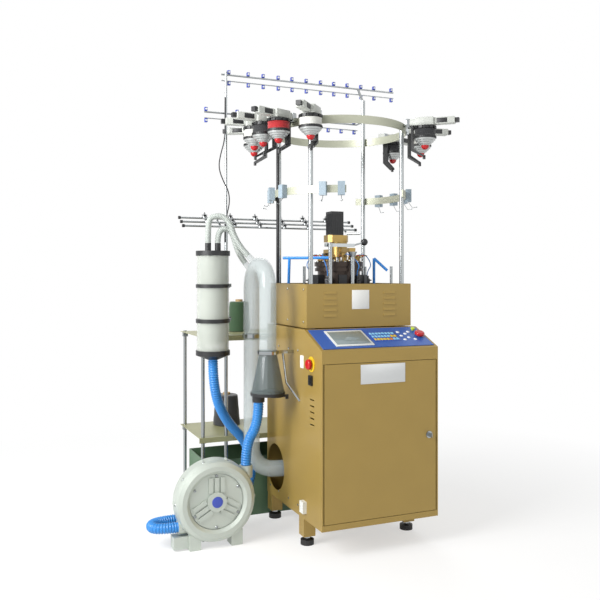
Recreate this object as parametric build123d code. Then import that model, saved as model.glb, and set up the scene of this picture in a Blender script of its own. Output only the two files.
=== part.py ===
from build123d import *
import math
import os

os.makedirs("parts", exist_ok=True)

# All lengths are in millimetres. X is to the right, Y to the back, Z up.
# Places are measured from the needle cylinder axis and the floor, and the whole
# machine is moved at the end so that its box stands on the middle of the origin.
# A rise is measured upwards from the piece that carries the feature, a drop downwards.

# Common sheet, gaps and shares
sheet = 2.0
seat_gap = 0.3
shaft_gap = 0.05
run_gap = 1.5
half_share = 0.5

# Legs and levelling feet
leg_side = 50.0
leg_inset = 27.0
leg_front_inset = 200.0
leg_height = 75.0
foot_radius = 27.0
foot_height = 20.0
stud_radius = 8.0
stud_show = 6.0
stud_reach = 34.0
nut_radius = 14.0
nut_height = 10.0

# Cabinet
cabinet_width = 510.0
cabinet_height = 629.0
head_front_depth = 200.0
head_back_depth = 204.0
console_step = 14.0
console_depth = 167.0
deck_rise = 78.0
door_sill_rise = 23.0
door_flange = 6.0
door_gap = 4.0
door_gap_z = 2.0
door_thick = 16.0
door_pin_radius = 4.0
door_pin_inset = 8.5
ledge_depth = 30.0
tube_port_radius = 98.0
tube_port_y = 99.0
tube_port_rise = 133.0
deck_hole_radius = 62.0
vent_count = 5
vent_inset = 91.0
vent_rise = 383.0
vent_pitch = 24.0
vent_length = 40.0
vent_height = 5.0

# Console cover, panel and buttons
console_front_rise = 47.0
console_cover_height = 39.0
panel_margin = 12.0
panel_low_v = 13.0
panel_depth = 159.0
panel_thick = 3.0
stop_inset = 35.0
stop_v = 93.0
stop_radius = 20.0
stop_height = 12.0
stop_stem_radius = 8.0
stop_stem_length = 22.0
start_inset = 39.0
start_v = 142.0
start_radius = 9.0
start_height = 6.0
start_stem_radius = 5.0
start_stem_length = 14.0
button_lift = 6.0

# Door lock
lock_inset = 32.0
lock_rise = 328.0
lock_radius = 11.0
lock_head_radius = 14.0
lock_head_thick = 3.0
lock_body_length = 22.0
lock_cam_overlap = 2.0
cam_width = 14.0
cam_thick = 3.0
key_width = 16.0
key_length = 20.0
key_thick = 2.5

# Fittings on the left side
side_stop_inset = 96.0
side_stop_drop = 11.0
side_stem_length = 17.0
side_plate_radius = 30.0
side_plate_thick = 3.0
rocker_inset = 98.0
rocker_drop = 62.0
rocker_base_width = 30.0
rocker_base_height = 38.0
rocker_base_thick = 8.0
rocker_width = 16.0
rocker_height = 24.0
rocker_thick = 5.0
rocker_pin_radius = 2.0
rocker_pocket = 5.0
inlet_inset = 161.0
inlet_rise = 51.0
inlet_width = 34.0
inlet_height = 46.0
inlet_thick = 16.0

# Head housing and bed plate
housing_inset = 16.0
housing_gap = 4.0
housing_height = 176.0
bed_sink = 13.0
bed_thick = 14.0
bed_hole_gap = 5.0
bed_column_side = 30.0
bed_column_inset = 39.0
bed_column_front = 50.0
bed_column_back = 54.0
louvre_count = 5
louvre_inset = 103.0
louvre_length = 56.0
louvre_rise = 44.0
louvre_pitch = 23.0
louvre_height = 9.0
louvre_proud = 4.0

# Knitting head
cylinder_radius = 51.0
cylinder_wall = 4.0
cylinder_drop = 50.0
cylinder_rise = 111.0
collar_width = 9.0
collar_height = 6.0
trick_count = 24
trick_width = 4.0
trick_depth = 1.5
trick_length = 45.0
gear_teeth = 36
pinion_teeth = 10
gear_module = 5.0
gear_rise = 5.0
gear_thick = 20.0
tooth_tip = 1.5
tooth_root = 5.0
tooth_tip_share = 0.30
tooth_root_share = 0.45
cam_bore_gap = 0.4
cam_recess_gap = 2.0
cam_recess_height = 12.0
cam_body_width = 30.0
cam_body_height = 65.0
cam_low_ring_width = 12.0
cam_low_ring_height = 14.0
cam_groove_width = 6.0
cam_groove_height = 7.0
cam_top_ring_width = 14.0
cam_top_ring_height = 19.0
actuator_count = 6
actuator_sink = 4.0
actuator_length = 36.0
actuator_width = 34.0
actuator_height = 50.0
actuator_turn = 12.0
dial_gap = 2.0
dial_thick = 6.0
dial_drop = 7.0
dial_shaft_radius = 8.0
dial_shaft_length = 58.0
bridge_gap = 15.0
bridge_sleeve_radius = 36.0
bridge_sleeve_height = 64.0
bridge_block_height = 30.0
bridge_block_half_x = 48.0
bridge_block_half_y = 35.0
bridge_block_x = -14.0
bridge_corner = 14.0
bridge_arm_half = 14.0
bridge_arm_rise = 20.0
bridge_arm_thick = 16.0
column_gap = 24.0
column_radius = 9.0
column_head_radius = 20.0
column_head_height = 22.0
motor_half = 28.5
motor_x = -20.0
motor_height = 102.0
finger_count = 6
finger_turn = 20.0
finger_gap = 19.0
finger_length = 22.0
finger_width = 16.0
finger_height = 28.0
finger_pin_radius = 2.0
finger_pin_gap = 5.0
finger_pin_rise = 21.0
finger_pin_drop = 8.0
pillar_radius = 6.0
pillar_height = 86.0
pillar_place_shares = [(-0.63, 0.15), (0.63, 0.20), (0.80, -0.60)]
lever_post_x = -105.0
lever_post_y = -136.0
lever_post_radius = 8.0
lever_post_height = 181.0
lever_offset = 18.0
lever_thick = 12.0
lever_height = 14.0
lever_pin_radius = 5.0
lever_pin_drop = 8.0
lever_left = 16.0
lever_bar_length = 118.0
lever_reach = 167.0
lever_rise = 15.0
lever_rod_radius = 4.0
ball_radius = 15.0
arm_radius = 6.0
arm_rise = 121.0
arm_left_x = -90.0
arm_left_y = -101.0
arm_left_over = 11.0
arm_left_end_y = 26.0
arm_strut_share = 0.8625
arm_strut_inset = 14.0
arm_right_x = 140.0
arm_right_y = -60.0
arm_right_inset = 51.0
arm_right_end_y = -92.0
arm_right_drop = 53.0

# Servo and control box inside
servo_half = 30.0
servo_height = 100.0
servo_shaft_radius = 7.0
control_box_inset = 25.0
control_box_width = 170.0
control_box_back = 54.0
control_box_depth = 250.0
control_box_height = 440.0

# Ring posts, rings and sensors
post_inset = 29.0
post_front_inset = 26.0
post_radius = 9.5
post_tall_rise = 178.0
ring_gap = 0.6
ring_thick = 4.5
ring_rise = 650.0
ring_height = 33.0
arc_rise = 376.0
arc_height = 30.0
arc_left_from = 132.0
arc_left_to = 250.0
arc_right_from = -48.0
arc_right_to = 48.0
sensor_turns = [150.0, 172.0, 194.0, 232.0, 246.0, -26.0, -10.0, 8.0, 26.0]
sensor_deep = 24.0
sensor_wide = 28.0
sensor_drop = 12.0
sensor_height = 54.0
loom_radius = 7.0
loom_offset_x = 12.0
loom_offset_y = 14.0
loom_height = 616.0

# Yarn feeders
feeder_turns = [-132.8, -155.4, -171.0, 173.5, 148.5, -42.9, -11.2, 21.7]
feeder_axis_reach = 87.68
feeder_tail = 125.0
feeder_half_width = 18.0
feeder_drop = 11.0
feeder_height = 28.0
feeder_block_half_length = 40.0
feeder_block_half = 30.0
feeder_block_drop = 4.0
feeder_block_rise = 3.0
feeder_ring_gap = 0.4
feeder_stem_radius = 6.0
winder_radius = 47.0
winder_thick = 11.0
winder_slots = 12
winder_slot_deep = 5.0
winder_slot_wide = 7.0
drum_radius = 44.0
drum_height = 28.0
drum_ring_radius = 46.0
drum_ring_height = 10.0
bowl_radius = 34.0
bowl_height = 10.0
nose_radius = 15.0
nose_height = 8.0
tip_radius = 16.5
tip_drop = 11.0
bracket_offset = 57.0
bracket_thick = 8.0
bracket_half = 13.0
bracket_height = 96.0
bracket_end_offset = 4.0
bracket_end_drop = 28.0
eyelet_radius = 6.0
eyelet_height = 16.0
plug_length = 16.0
plug_half = 10.0
plug_inset_z = 5.0

# Creel
creel_post_radius = 8.0
creel_mast_radius = 5.5
creel_mast_reach = 187.0
creel_left_reach = 291.0
creel_right_inset = 55.0
creel_back_gap = 15.0
creel_depth = 312.0
creel_mast_step_z = 1300.0
creel_mast_height = 665.0
creel_tall_rise = 85.0
creel_post_rise = 4.0
creel_foot_radius = 15.0
creel_foot_height = 10.0
shelf_left_margin = 19.0
shelf_right_margin = 20.0
shelf_front_margin = 12.0
shelf_back_margin = 14.0
lower_shelf_z = 370.0
shelf_pitch = 438.0
shelf_lip = 22.0
post_hole_gap = 0.2
clamp_side = 22.0
clamp_height = 22.0
bin_left_gap = 16.0
bin_right_gap = 20.0
bin_front_gap = 21.0
bin_back_gap = 16.0
bin_height = 258.0
bin_wall = 4.0
rack_left_over = 18.0
rack_right_over = 192.0
rack_drop_from_top = 13.0
rack_drop = 27.0
rack_low_left_over = 95.0
rack_low_right_inset = 3.0
rack_step = 170.0
rack_radius = 4.0
rack_thin_radius = 2.5
rack_gap = 0.2
guide_top_shares = [0.039, 0.143, 0.225, 0.309, 0.387, 0.469, 0.553, 0.631, 0.712, 0.796, 0.877, 0.986]
guide_low_shares = [0.009, 0.200, 0.796, 0.886, 0.977]
guide_side = 12.0
guide_height = 16.0
tension_left_over = 88.0
tension_right_inset = 6.0
tension_drop = 15.0
tension_step_y = 35.0
tension_step_z = 20.0
tension_count = 3
tension_radius = 4.5
tension_cap_radius = 7.0
tension_cap_length = 10.0
tensioner_count = 6
tensioner_radius = 8.0
tensioner_height = 10.0
tensioner_pin_radius = 2.0
tensioner_pin_height = 16.0
cross_radius = 5.0
cross_left_over = 13.0
cross_right_inset = 50.0
green_place_shares = (0.324, 0.678)
brown_place_shares = (0.255, 0.746)
green_low_radius = 52.0
green_high_radius = 45.0
brown_low_radius = 63.0
brown_high_radius = 52.0
cone_seat_depth = 1.0
cone_seat_gap = 1.0
cone_package_height = 141.0
cone_core_radius = 18.0
cone_core_height = 10.0

# Filter canister
canister_offset = 174.0
canister_creel_gap = 130.0
canister_radius = 67.0
canister_wall = 3.0
canister_band_radius = 71.0
canister_band_bore = 58.0
canister_low_z = 760.0
canister_low_section = 115.0
canister_low_band = 16.0
canister_middle_section = 129.0
canister_high_band = 15.0
canister_high_section = 118.0
canister_lid_thick = 20.0
canister_stub_radius = 12.5
canister_stub_height = 33.0
canister_stub_x = 21.0
hopper_rim_height = 20.0
hopper_cone_height = 18.0
hopper_outlet_radius = 25.0
sleeve_radius = 45.0
sleeve_wall = 3.0
sleeve_rise = 30.0
hold_plate_thick = 6.0
hold_plate_margin = 20.0
hold_arm_half = 10.0

# Sock tube, cone and flap
tube_offset = 110.0
tube_radius = 35.0
tube_wall = 2.0
tube_bend = 90.0
tube_inner_rise = 12.0
tube_end_gap = 2.0
drop_y = -98.0
arch_z = 1113.0
spigot_radius = 13.0
spigot_length = 60.0
spigot_upper_y = 18.0
spigot_upper_drop = 3.0
spigot_lower_y = 76.0
spigot_lower_drop = 36.0
spigot_way_shares = [(-0.65, 0.235, 0.72), (-0.61, 0.04, 0.79)]
cone_low_z = 602.0
cone_height = 148.0
cone_neck_height = 20.0
cone_radius = 68.0
cone_neck_radius = 38.0
cone_wall = 2.4
base_radius = 70.0
base_thick = 12.0
outlet_x = 24.0
outlet_y = -22.0
outlet_radius = 30.0
suction_x = -30.0
suction_y = 28.0
suction_radius = 25.0
suction_bore = 21.0
suction_length = 30.0
flap_radius = 34.0
flap_thick = 3.5
flap_drop = 1.5
flap_pin_radius = 3.0
flap_pin_reach = 40.0
flap_pin_half = 26.0
flap_lug_half = 19.0
ear_thick = 6.0
ear_half = 6.0
ear_height = 12.0
collar_gap = 0.3
collar_wall = 5.0
riser_clamp_drop = 12.0
riser_clamp_height = 16.0
bracket_arm_half = 7.0
bent_rod_radius = 5.0
bent_foot_y = -170.0
bent_foot_drop = 180.0
bent_elbow_out = 41.0
bent_elbow_y = -130.0
bent_elbow_drop = 110.0
bent_tip_out = 45.0
bent_tip_rise = 10.0

# Blower
blower_offset = 210.0
blower_z = 183.0
blower_front_y = -101.0
blower_back_y = -11.0
blower_radius = 161.0
blower_bore = 104.0
blower_seat = 108.0
blower_cover_sink = 23.0
blower_cover_thick = 7.0
blower_cover_gap = 0.4
blower_plate = 8.0
blower_hub_radius = 38.0
blower_hub_proud = 14.0
blower_rib_in = 34.0
blower_rib_out = 94.0
blower_rib_width = 17.0
blower_rib_pitch = 24.0
blower_rib_proud = 6.0
rim_step = 2.0
rim_round = 9.0
rim_face_in = 14.0
rim_face_out = 21.0
rim_edge = 6.0
rim_side_front = 26.0
rim_side_back = 14.0
rim_back_edge = 11.0
blower_lug_count = 10
blower_lug_radius = 8.0
blower_lug_inset = 3.0
blower_lug_sink = 31.0
blower_lug_length = 30.0
impeller_rim_gap = 6.0
impeller_front_gap = 12.0
impeller_back_gap = 13.0
impeller_blades = 12
impeller_blade_thick = 4.0
impeller_disc = 6.0
impeller_hub = 24.0
shaft_radius = 9.0
shaft_hole_radius = 14.0
shaft_reach = 51.0
blower_motor_radius = 55.0
blower_motor_length = 129.0
motor_fin_count = 14
motor_fin_height = 7.0
motor_fin_thick = 4.0
motor_fin_start = 11.0
motor_fin_length = 88.0
foot_box_x = 62.0
foot_box_width = 46.0
foot_box_sink = 15.0
foot_box_depth = 60.0
foot_box_height = 62.0
terminal_out = 167.0
terminal_length = 74.0
terminal_sink = 31.0
terminal_depth = 50.0
terminal_low_z = 8.0
terminal_height = 48.0
port_radius = 27.0
port_sink = 56.0
port_left_drop = 95.0
port_left_out = 146.0
port_left_in = 115.0
port_right_reach = 135.0
port_right_rise = 72.0
port_right_length = 49.0

# Hoses and cable
blue_radius = 21.5
white_radius = 13.0
cable_radius = 2.5
bend_share = 0.45
hose_a_points = [
    (-539.0, 89.0, 722.0), (-539.0, 89.0, 604.0), (-472.0, 148.0, 455.0), (-352.0, 172.0, 335.0),
    (-334.0, 172.0, 178.0), (-440.0, 95.0, 92.0), (-630.0, 64.0, 84.0), (-812.0, 52.0, 86.0),
    (-812.0, -45.0, 88.0), (-721.0, -45.0, 88.0),
]
hose_b_points = [
    (-395.0, -70.0, 560.0), (-395.0, -70.0, 472.0), (-440.0, -45.0, 390.0), (-440.0, -45.0, 304.1),
]
cable_points = [
    (-447.8, 213.2, 1850.0), (-449.0, 212.0, 1785.0), (-447.8, 213.0, 1720.0), (-452.0, 211.0, 1655.0),
    (-470.0, 207.0, 1600.0), (-481.0, 204.0, 1540.0), (-462.0, 202.0, 1485.0), (-436.0, 201.0, 1440.0),
    (-430.0, 203.0, 1390.0), (-442.0, 207.0, 1335.0), (-449.6, 211.4, 1275.0), (-450.0, 211.0, 1215.0),
]
white_low_rise = [56.0, 0.0]
white_rise = [112.0, 60.0]
white_lean = [6.0, 0.0]
white_top = [76.0, 60.0]
white_lead = [70.0, 55.0]

# Derived places
half_width = cabinet_width * half_share
leg_bottom_z = foot_height + stud_show + nut_height
stud_top_z = leg_bottom_z + stud_reach
cabinet_bottom_z = leg_bottom_z + leg_height
cabinet_rail_z = cabinet_bottom_z + cabinet_height
cabinet_deck_z = cabinet_rail_z + deck_rise
housing_front_y = -head_front_depth
step_y = housing_front_y - console_step
cabinet_front_y = step_y - console_depth
cabinet_back_y = head_back_depth
tube_port_z = cabinet_bottom_z + tube_port_rise
vent_y = cabinet_front_y + vent_inset
vent_z = cabinet_bottom_z + vent_rise
console_front_z = cabinet_rail_z + console_front_rise
console_top_z = cabinet_deck_z + console_cover_height
slope = math.degrees(math.atan2(console_top_z - console_front_z, console_depth))
slope_plane = Plane(
    origin=(0, cabinet_front_y, console_front_z), x_dir=(1, 0, 0),
    z_dir=(0, -math.sin(math.radians(slope)), math.cos(math.radians(slope))),
)
panel_half = half_width - panel_margin
stop_x = half_width - stop_inset
start_x = half_width - start_inset
door_sill_z = cabinet_bottom_z + door_sill_rise
door_half = half_width - door_flange - door_gap
door_low_z = door_sill_z + door_gap_z
door_high_z = cabinet_rail_z - sheet - door_gap_z
hinge_x = -door_half + door_pin_inset
hinge_y = cabinet_front_y + door_thick * half_share
lock_x = door_half - lock_inset
lock_z = cabinet_bottom_z + lock_rise
cam_length = half_width - door_flange + lock_cam_overlap - lock_x
side_stop_y = cabinet_front_y + side_stop_inset
side_stop_z = cabinet_rail_z - side_stop_drop
rocker_y = cabinet_front_y + rocker_inset
rocker_z = side_stop_z - rocker_drop
inlet_y = cabinet_front_y + inlet_inset
inlet_z = cabinet_bottom_z + inlet_rise
housing_half_width = half_width - housing_inset
housing_low_z = console_top_z + housing_gap
housing_top_z = housing_low_z + housing_height
bed_top_z = housing_top_z - bed_sink
bed_low_z = bed_top_z - bed_thick
louvre_x = housing_half_width - louvre_inset
louvre_z = housing_low_z + louvre_rise
cylinder_bore = cylinder_radius - cylinder_wall
cylinder_bottom_z = bed_low_z - cylinder_drop
cylinder_top_z = bed_top_z + cylinder_rise
bed_hole_radius = cylinder_radius + bed_hole_gap
collar_radius = cylinder_radius + collar_width
gear_low_z = cylinder_bottom_z + gear_rise
gear_radius = gear_module * gear_teeth * half_share
pinion_radius = gear_module * pinion_teeth * half_share
cam_recess_radius = collar_radius + cam_recess_gap
cam_body_radius = cam_recess_radius + cam_body_width
cam_body_top_z = bed_top_z + cam_body_height
cam_low_ring_top_z = cam_body_top_z + cam_low_ring_height
cam_groove_top_z = cam_low_ring_top_z + cam_groove_height
cam_top_z = cam_groove_top_z + cam_top_ring_height
cam_top_ring_radius = cam_body_radius + cam_top_ring_width
dial_radius = cylinder_bore - dial_gap
dial_low_z = cylinder_top_z - dial_drop
dial_shaft_top_z = dial_low_z + dial_thick + dial_shaft_length
bridge_low_z = cylinder_top_z + bridge_gap
bridge_block_low_z = bridge_low_z + bridge_sleeve_height
bridge_block_top_z = bridge_block_low_z + bridge_block_height
bridge_arm_low_z = bridge_low_z + bridge_arm_rise
column_reach = cam_top_ring_radius + column_gap
finger_in = cylinder_radius + finger_gap
lever_y = lever_post_y + lever_offset
lever_pin_z = bed_top_z + lever_post_height - lever_pin_drop
ball_x = lever_post_x + lever_reach
arm_z = bed_top_z + arm_rise
servo_x = gear_radius + pinion_radius
post_x = housing_half_width - post_inset
post_y = head_front_depth - post_front_inset
post_reach = math.hypot(post_x, post_y)
ring_low_z = bed_top_z + ring_rise
ring_high_z = ring_low_z + ring_height
ring_in = post_reach + post_radius + ring_gap
ring_out = ring_in + ring_thick
post_tall_z = ring_high_z + post_tall_rise
arc_low_z = bed_top_z + arc_rise
arc_high_z = arc_low_z + arc_height
sensor_low_z = arc_low_z - sensor_drop
feeder_axis = ring_out + feeder_axis_reach
feeder_end = feeder_axis + feeder_tail
feeder_low_z = ring_high_z - feeder_drop
feeder_high_z = feeder_low_z + feeder_height
feeder_block_low_z = feeder_low_z - feeder_block_drop
winder_high_z = feeder_block_low_z - run_gap
winder_low_z = winder_high_z - winder_thick
drum_high_z = winder_low_z - run_gap
nose_low_z = drum_high_z - drum_height - drum_ring_height - bowl_height - nose_height
tip_z = nose_low_z - tip_drop
creel_mast_x = -half_width - creel_mast_reach
creel_left_x = -half_width - creel_left_reach
creel_right_x = half_width - creel_right_inset
creel_front_y = cabinet_back_y + creel_back_gap
creel_back_y = creel_front_y + creel_depth
creel_mast_top_z = creel_mast_step_z + creel_mast_height
upper_shelf_z = lower_shelf_z + shelf_pitch
shelf_tops = [lower_shelf_z, upper_shelf_z]
shelf_left_x = creel_left_x - shelf_left_margin
shelf_right_x = creel_right_x + shelf_right_margin
shelf_front_y = creel_front_y - shelf_front_margin
shelf_back_y = creel_back_y + shelf_back_margin
rack_left_x = creel_mast_x - rack_left_over
rack_right_x = post_x + rack_right_over
rack_z = creel_mast_top_z - rack_drop_from_top
rack_low_left_x = creel_mast_x - rack_low_left_over
rack_low_right_x = post_x - rack_low_right_inset
rack_low_z = rack_z - rack_step
rack_y = creel_front_y + creel_mast_radius + rack_radius + rack_gap
rack_thin_y = creel_front_y + creel_mast_radius + rack_thin_radius + rack_gap
tension_left_x = creel_left_x - tension_left_over
tension_right_x = creel_right_x - tension_right_inset
tension_y = creel_front_y + creel_post_radius + tension_radius + rack_gap
tension_z = creel_mast_step_z - tension_drop
tube_x = -half_width - tube_offset
canister_x = tube_x - canister_offset
canister_y = creel_front_y - canister_creel_gap
canister_band_low_z = canister_low_z + canister_low_section
canister_middle_z = canister_band_low_z + canister_low_band
canister_band_high_z = canister_middle_z + canister_middle_section
canister_high_z = canister_band_high_z + canister_high_band
canister_top_z = canister_high_z + canister_high_section
canister_tubes = [
    (canister_low_z, canister_band_low_z), (canister_middle_z, canister_band_high_z),
    (canister_high_z, canister_top_z),
]
canister_bands = [(canister_band_low_z, canister_middle_z), (canister_band_high_z, canister_high_z)]
stub_top_z = canister_top_z + canister_lid_thick + canister_stub_height
hopper_low_z = canister_low_z - hopper_rim_height - hopper_cone_height
spigot_places = [(spigot_upper_y, arch_z - spigot_upper_drop), (spigot_lower_y, arch_z - spigot_lower_drop)]
cone_neck_z = cone_low_z + cone_height
base_low_z = cone_low_z - base_thick
flap_high_z = base_low_z - flap_drop
flap_low_z = flap_high_z - flap_thick
flap_x = tube_x + outlet_x
flap_y = drop_y + outlet_y
flap_pin_x = flap_x + flap_pin_reach
flap_pin_z = flap_high_z - flap_thick * half_share
blower_x = tube_x - blower_offset
blower_cover_y = blower_front_y + blower_cover_sink
port_y = blower_front_y + port_sink
port_left_z = blower_z - port_left_drop


def bx(x0, x1, y0, y1, z0, z1):
    middle = Pos((x0 + x1) * half_share, (y0 + y1) * half_share, (z0 + z1) * half_share)
    return middle * Box(x1 - x0, y1 - y0, z1 - z0)


def rod(p, q, r):
    a, b = Vector(*p), Vector(*q)
    place = Plane(origin=a, z_dir=b - a)
    return place * Cylinder(r, (b - a).length, align=(Align.CENTER, Align.CENTER, Align.MIN))


def cz(x, y, z0, z1, r):
    return rod((x, y, z0), (x, y, z1), r)


def side_hole(y, z, r):
    """Cutter through the cabinet's left wall and what is mounted on it."""
    reach = side_plate_thick + sheet
    return rod((-half_width - reach, y, z), (-half_width + reach, y, z), r)


def prism_x(points, x0, x1):
    face = Plane.YZ.offset(x0) * make_face(Polyline(*points, close=True))
    return extrude(face, amount=x1 - x0, dir=(1, 0, 0))


def turned(points):
    """Solid of revolution about Z from (radius, z) points."""
    return revolve(Plane.XZ * make_face(Polyline(*points, close=True)), Axis.Z)


def turned_y(points, x, z):
    """Solid of revolution about a line along Y from (radius, y) points."""
    face = make_face(Polyline(*points, close=True))
    return Pos(x, 0, z) * revolve(face, Axis.Y)


def upright_cone(low_radius, high_radius, height):
    return Cone(low_radius, high_radius, height, align=(Align.CENTER, Align.CENTER, Align.MIN))


def spread(turn, reach):
    return reach * math.cos(math.radians(turn)), reach * math.sin(math.radians(turn))


def around(count, shape):
    """Copies of a shape evenly spaced about the needle axis."""
    return [Rot(0, 0, 360.0 / count * i) * shape for i in range(count)]


def corner_radii(points):
    """Bend radii that use a share of the shorter run at each corner."""
    radii = []
    for a, b, c in zip(points, points[1:], points[2:]):
        p, q = Vector(*b) - Vector(*a), Vector(*c) - Vector(*b)
        half = math.radians(p.get_angle(q)) * half_share
        radii.append(bend_share * min(p.length, q.length) / math.tan(half))
    return radii


def swept(points, radii, r):
    path = FilletPolyline(*points, radius=radii)
    start = Plane(origin=path @ 0, z_dir=path % 0)
    return sweep(start * Circle(r), path=path)


def gear_blank(teeth, pitch_radius, offset_turn, z0, thick):
    step = 360.0 / teeth
    points = []
    for i in range(teeth):
        middle = offset_turn + step * i
        root, tip = step * tooth_root_share * half_share, step * tooth_tip_share * half_share
        points.append(spread(middle - root, pitch_radius - tooth_root))
        points.append(spread(middle - tip, pitch_radius + tooth_tip))
        points.append(spread(middle + tip, pitch_radius + tooth_tip))
        points.append(spread(middle + root, pitch_radius - tooth_root))
    return Pos(0, 0, z0) * extrude(make_face(Polyline(*points, close=True)), amount=thick)


def leg_places():
    x = half_width - leg_inset
    ys = (cabinet_front_y + leg_front_inset, cabinet_back_y - leg_inset)
    return [(side * x, y) for side in (-1, 1) for y in ys]


def cabinet_shell():
    f, b, w = cabinet_front_y, cabinet_back_y, half_width
    low, rail, deck, s = cabinet_bottom_z, cabinet_rail_z, cabinet_deck_z, step_y
    body = prism_x([(f, low), (b, low), (b, deck), (s, deck), (s, rail), (f, rail)], -w, w)
    inner = [
        (f + sheet, low + sheet), (b - sheet, low + sheet), (b - sheet, deck - sheet),
        (s + sheet, deck - sheet), (s + sheet, rail - sheet), (f + sheet, rail - sheet),
    ]
    body -= prism_x(inner, -w + sheet, w - sheet)
    o = w - door_flange
    body -= bx(-o, o, f - sheet, f + sheet, door_sill_z, rail - sheet)
    ledge_y = f + sheet + ledge_depth
    body += bx(-w + sheet, w - sheet, f + sheet, ledge_y, door_sill_z - sheet, door_sill_z)
    body -= cz(hinge_x, hinge_y, low + sheet, rail + sheet, door_pin_radius + shaft_gap)
    body -= side_hole(tube_port_y, tube_port_z, tube_port_radius)
    body -= cz(0, 0, deck - 2 * sheet, deck + sheet, deck_hole_radius)
    h = vent_length * half_share
    for i in range(vent_count):
        z = vent_z + vent_pitch * i
        body -= bx(-w - sheet, -w + 2 * sheet, vent_y - h, vent_y + h, z, z + vent_height)
    body -= side_hole(side_stop_y, side_stop_z, stop_stem_radius + seat_gap)
    for x, y in leg_places():
        h = leg_side * half_share
        body += bx(x - h, x + h, y - h, y + h, leg_bottom_z, low)
        body -= cz(x, y, leg_bottom_z - sheet, stud_top_z + seat_gap, stud_radius + shaft_gap)
    return body


def levelling_feet():
    feet = []
    for x, y in leg_places():
        foot = cz(x, y, 0, foot_height, foot_radius) + cz(x, y, foot_height, stud_top_z, stud_radius)
        nut = Pos(x, y, leg_bottom_z - nut_height) * extrude(RegularPolygon(nut_radius, 6), amount=nut_height)
        feet.append(foot + nut)
    return feet


def button_places():
    return ((stop_x, stop_v, stop_stem_radius), (start_x, start_v, start_stem_radius))


def console_housing():
    f, b, w, s = cabinet_front_y, cabinet_back_y, half_width, step_y
    rail, deck, top, lip = cabinet_rail_z, cabinet_deck_z, console_top_z, console_front_z
    body = prism_x([(f, rail), (f, lip), (s, top), (b, top), (b, deck), (s, deck), (s, rail)], -w, w)
    inner = [
        (f + sheet, rail - sheet), (f + sheet, lip - sheet), (s + sheet, top - sheet),
        (b - sheet, top - sheet), (b - sheet, deck - sheet), (s - sheet, deck - sheet),
        (s - sheet, rail - sheet),
    ]
    body -= prism_x(inner, -w + sheet, w - sheet)
    body -= cz(0, 0, deck, top + sheet, deck_hole_radius)
    for x, v, r in button_places():
        body -= slope_plane * Pos(x, v, 0) * Cylinder(r + seat_gap, 4 * panel_thick)
    return body


def control_panel():
    middle = Pos(0, panel_low_v + panel_depth * half_share, panel_thick * half_share)
    plate = middle * Box(2 * panel_half, panel_depth, panel_thick)
    for x, v, r in button_places():
        plate -= Pos(x, v, 0) * Cylinder(r + seat_gap, 4 * panel_thick)
    return slope_plane * plate


def button(radius, height, stem_radius, stem_length):
    """Push button pointing along Z, its cap held above the panel face at zero."""
    stem = Cylinder(stem_radius, stem_length, align=(Align.CENTER, Align.CENTER, Align.MAX))
    cap = Cylinder(radius, height, align=(Align.CENTER, Align.CENTER, Align.MIN))
    cap = fillet(cap.edges().group_by(Axis.Z)[-1], height * half_share)
    return Pos(0, 0, button_lift) * (cap + stem)


def estop_button():
    shape = button(stop_radius, stop_height, stop_stem_radius, stop_stem_length)
    return slope_plane * Pos(stop_x, stop_v, panel_thick) * shape


def start_button():
    shape = button(start_radius, start_height, start_stem_radius, start_stem_length)
    return slope_plane * Pos(start_x, start_v, panel_thick) * shape


def side_estop_button():
    origin = (-half_width - side_plate_thick, side_stop_y, side_stop_z)
    wall = Plane(origin=origin, x_dir=(0, 1, 0), z_dir=(-1, 0, 0))
    return wall * button(stop_radius, stop_height, stop_stem_radius, side_stem_length)


def front_door():
    f, back, h = cabinet_front_y, cabinet_front_y + door_thick, door_half
    door = bx(-h, h, f, back, door_low_z, door_high_z)
    door -= bx(-h + sheet, h - sheet, f + sheet, back + sheet, door_low_z + sheet, door_high_z - sheet)
    door += bx(-h, -h + 2 * door_pin_inset, f, back, door_low_z, door_high_z)
    door += cz(hinge_x, hinge_y, door_high_z, cabinet_rail_z, door_pin_radius)
    door += cz(hinge_x, hinge_y, door_sill_z - sheet, door_low_z, door_pin_radius)
    door -= rod((lock_x, f - sheet, lock_z), (lock_x, f + 2 * sheet, lock_z), lock_radius + shaft_gap)
    return door


def door_lock():
    f = cabinet_front_y
    head_y = f - seat_gap - lock_head_thick
    body = rod((lock_x, head_y, lock_z), (lock_x, f - seat_gap, lock_z), lock_head_radius)
    body += rod((lock_x, f - seat_gap, lock_z), (lock_x, f + lock_body_length, lock_z), lock_radius)
    cam_y = f + lock_body_length - cam_thick
    h = cam_width * half_share
    body += bx(lock_x - h, lock_x + h, cam_y, cam_y + cam_thick, lock_z, lock_z + cam_length)
    k, t = key_width * half_share, key_thick * half_share
    body += bx(lock_x - t, lock_x + t, head_y - key_length, head_y, lock_z - k, lock_z + k)
    return body


def side_fittings():
    w, y, z = -half_width, side_stop_y, side_stop_z
    plate = rod((w - side_plate_thick, y, z), (w, y, z), side_plate_radius)
    plate -= side_hole(y, z, stop_stem_radius + seat_gap)
    a, b = rocker_base_width * half_share, rocker_base_height * half_share
    front = w - rocker_base_thick
    base = bx(front, w, rocker_y - a, rocker_y + a, rocker_z - b, rocker_z + b)
    a, b = rocker_width * half_share + run_gap, rocker_height * half_share + run_gap
    base -= bx(front - sheet, front + rocker_pocket, rocker_y - a, rocker_y + a, rocker_z - b, rocker_z + b)
    base -= rocker_pin(rocker_pin_radius + shaft_gap, run_gap)
    a, b = inlet_width * half_share, inlet_height * half_share
    inlet = bx(w - inlet_thick, w, inlet_y - a, inlet_y + a, inlet_z - b, inlet_z + b)
    return [plate, base, inlet]


def rocker_axis_x():
    return -half_width - rocker_base_thick + rocker_pin_radius - seat_gap


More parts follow.
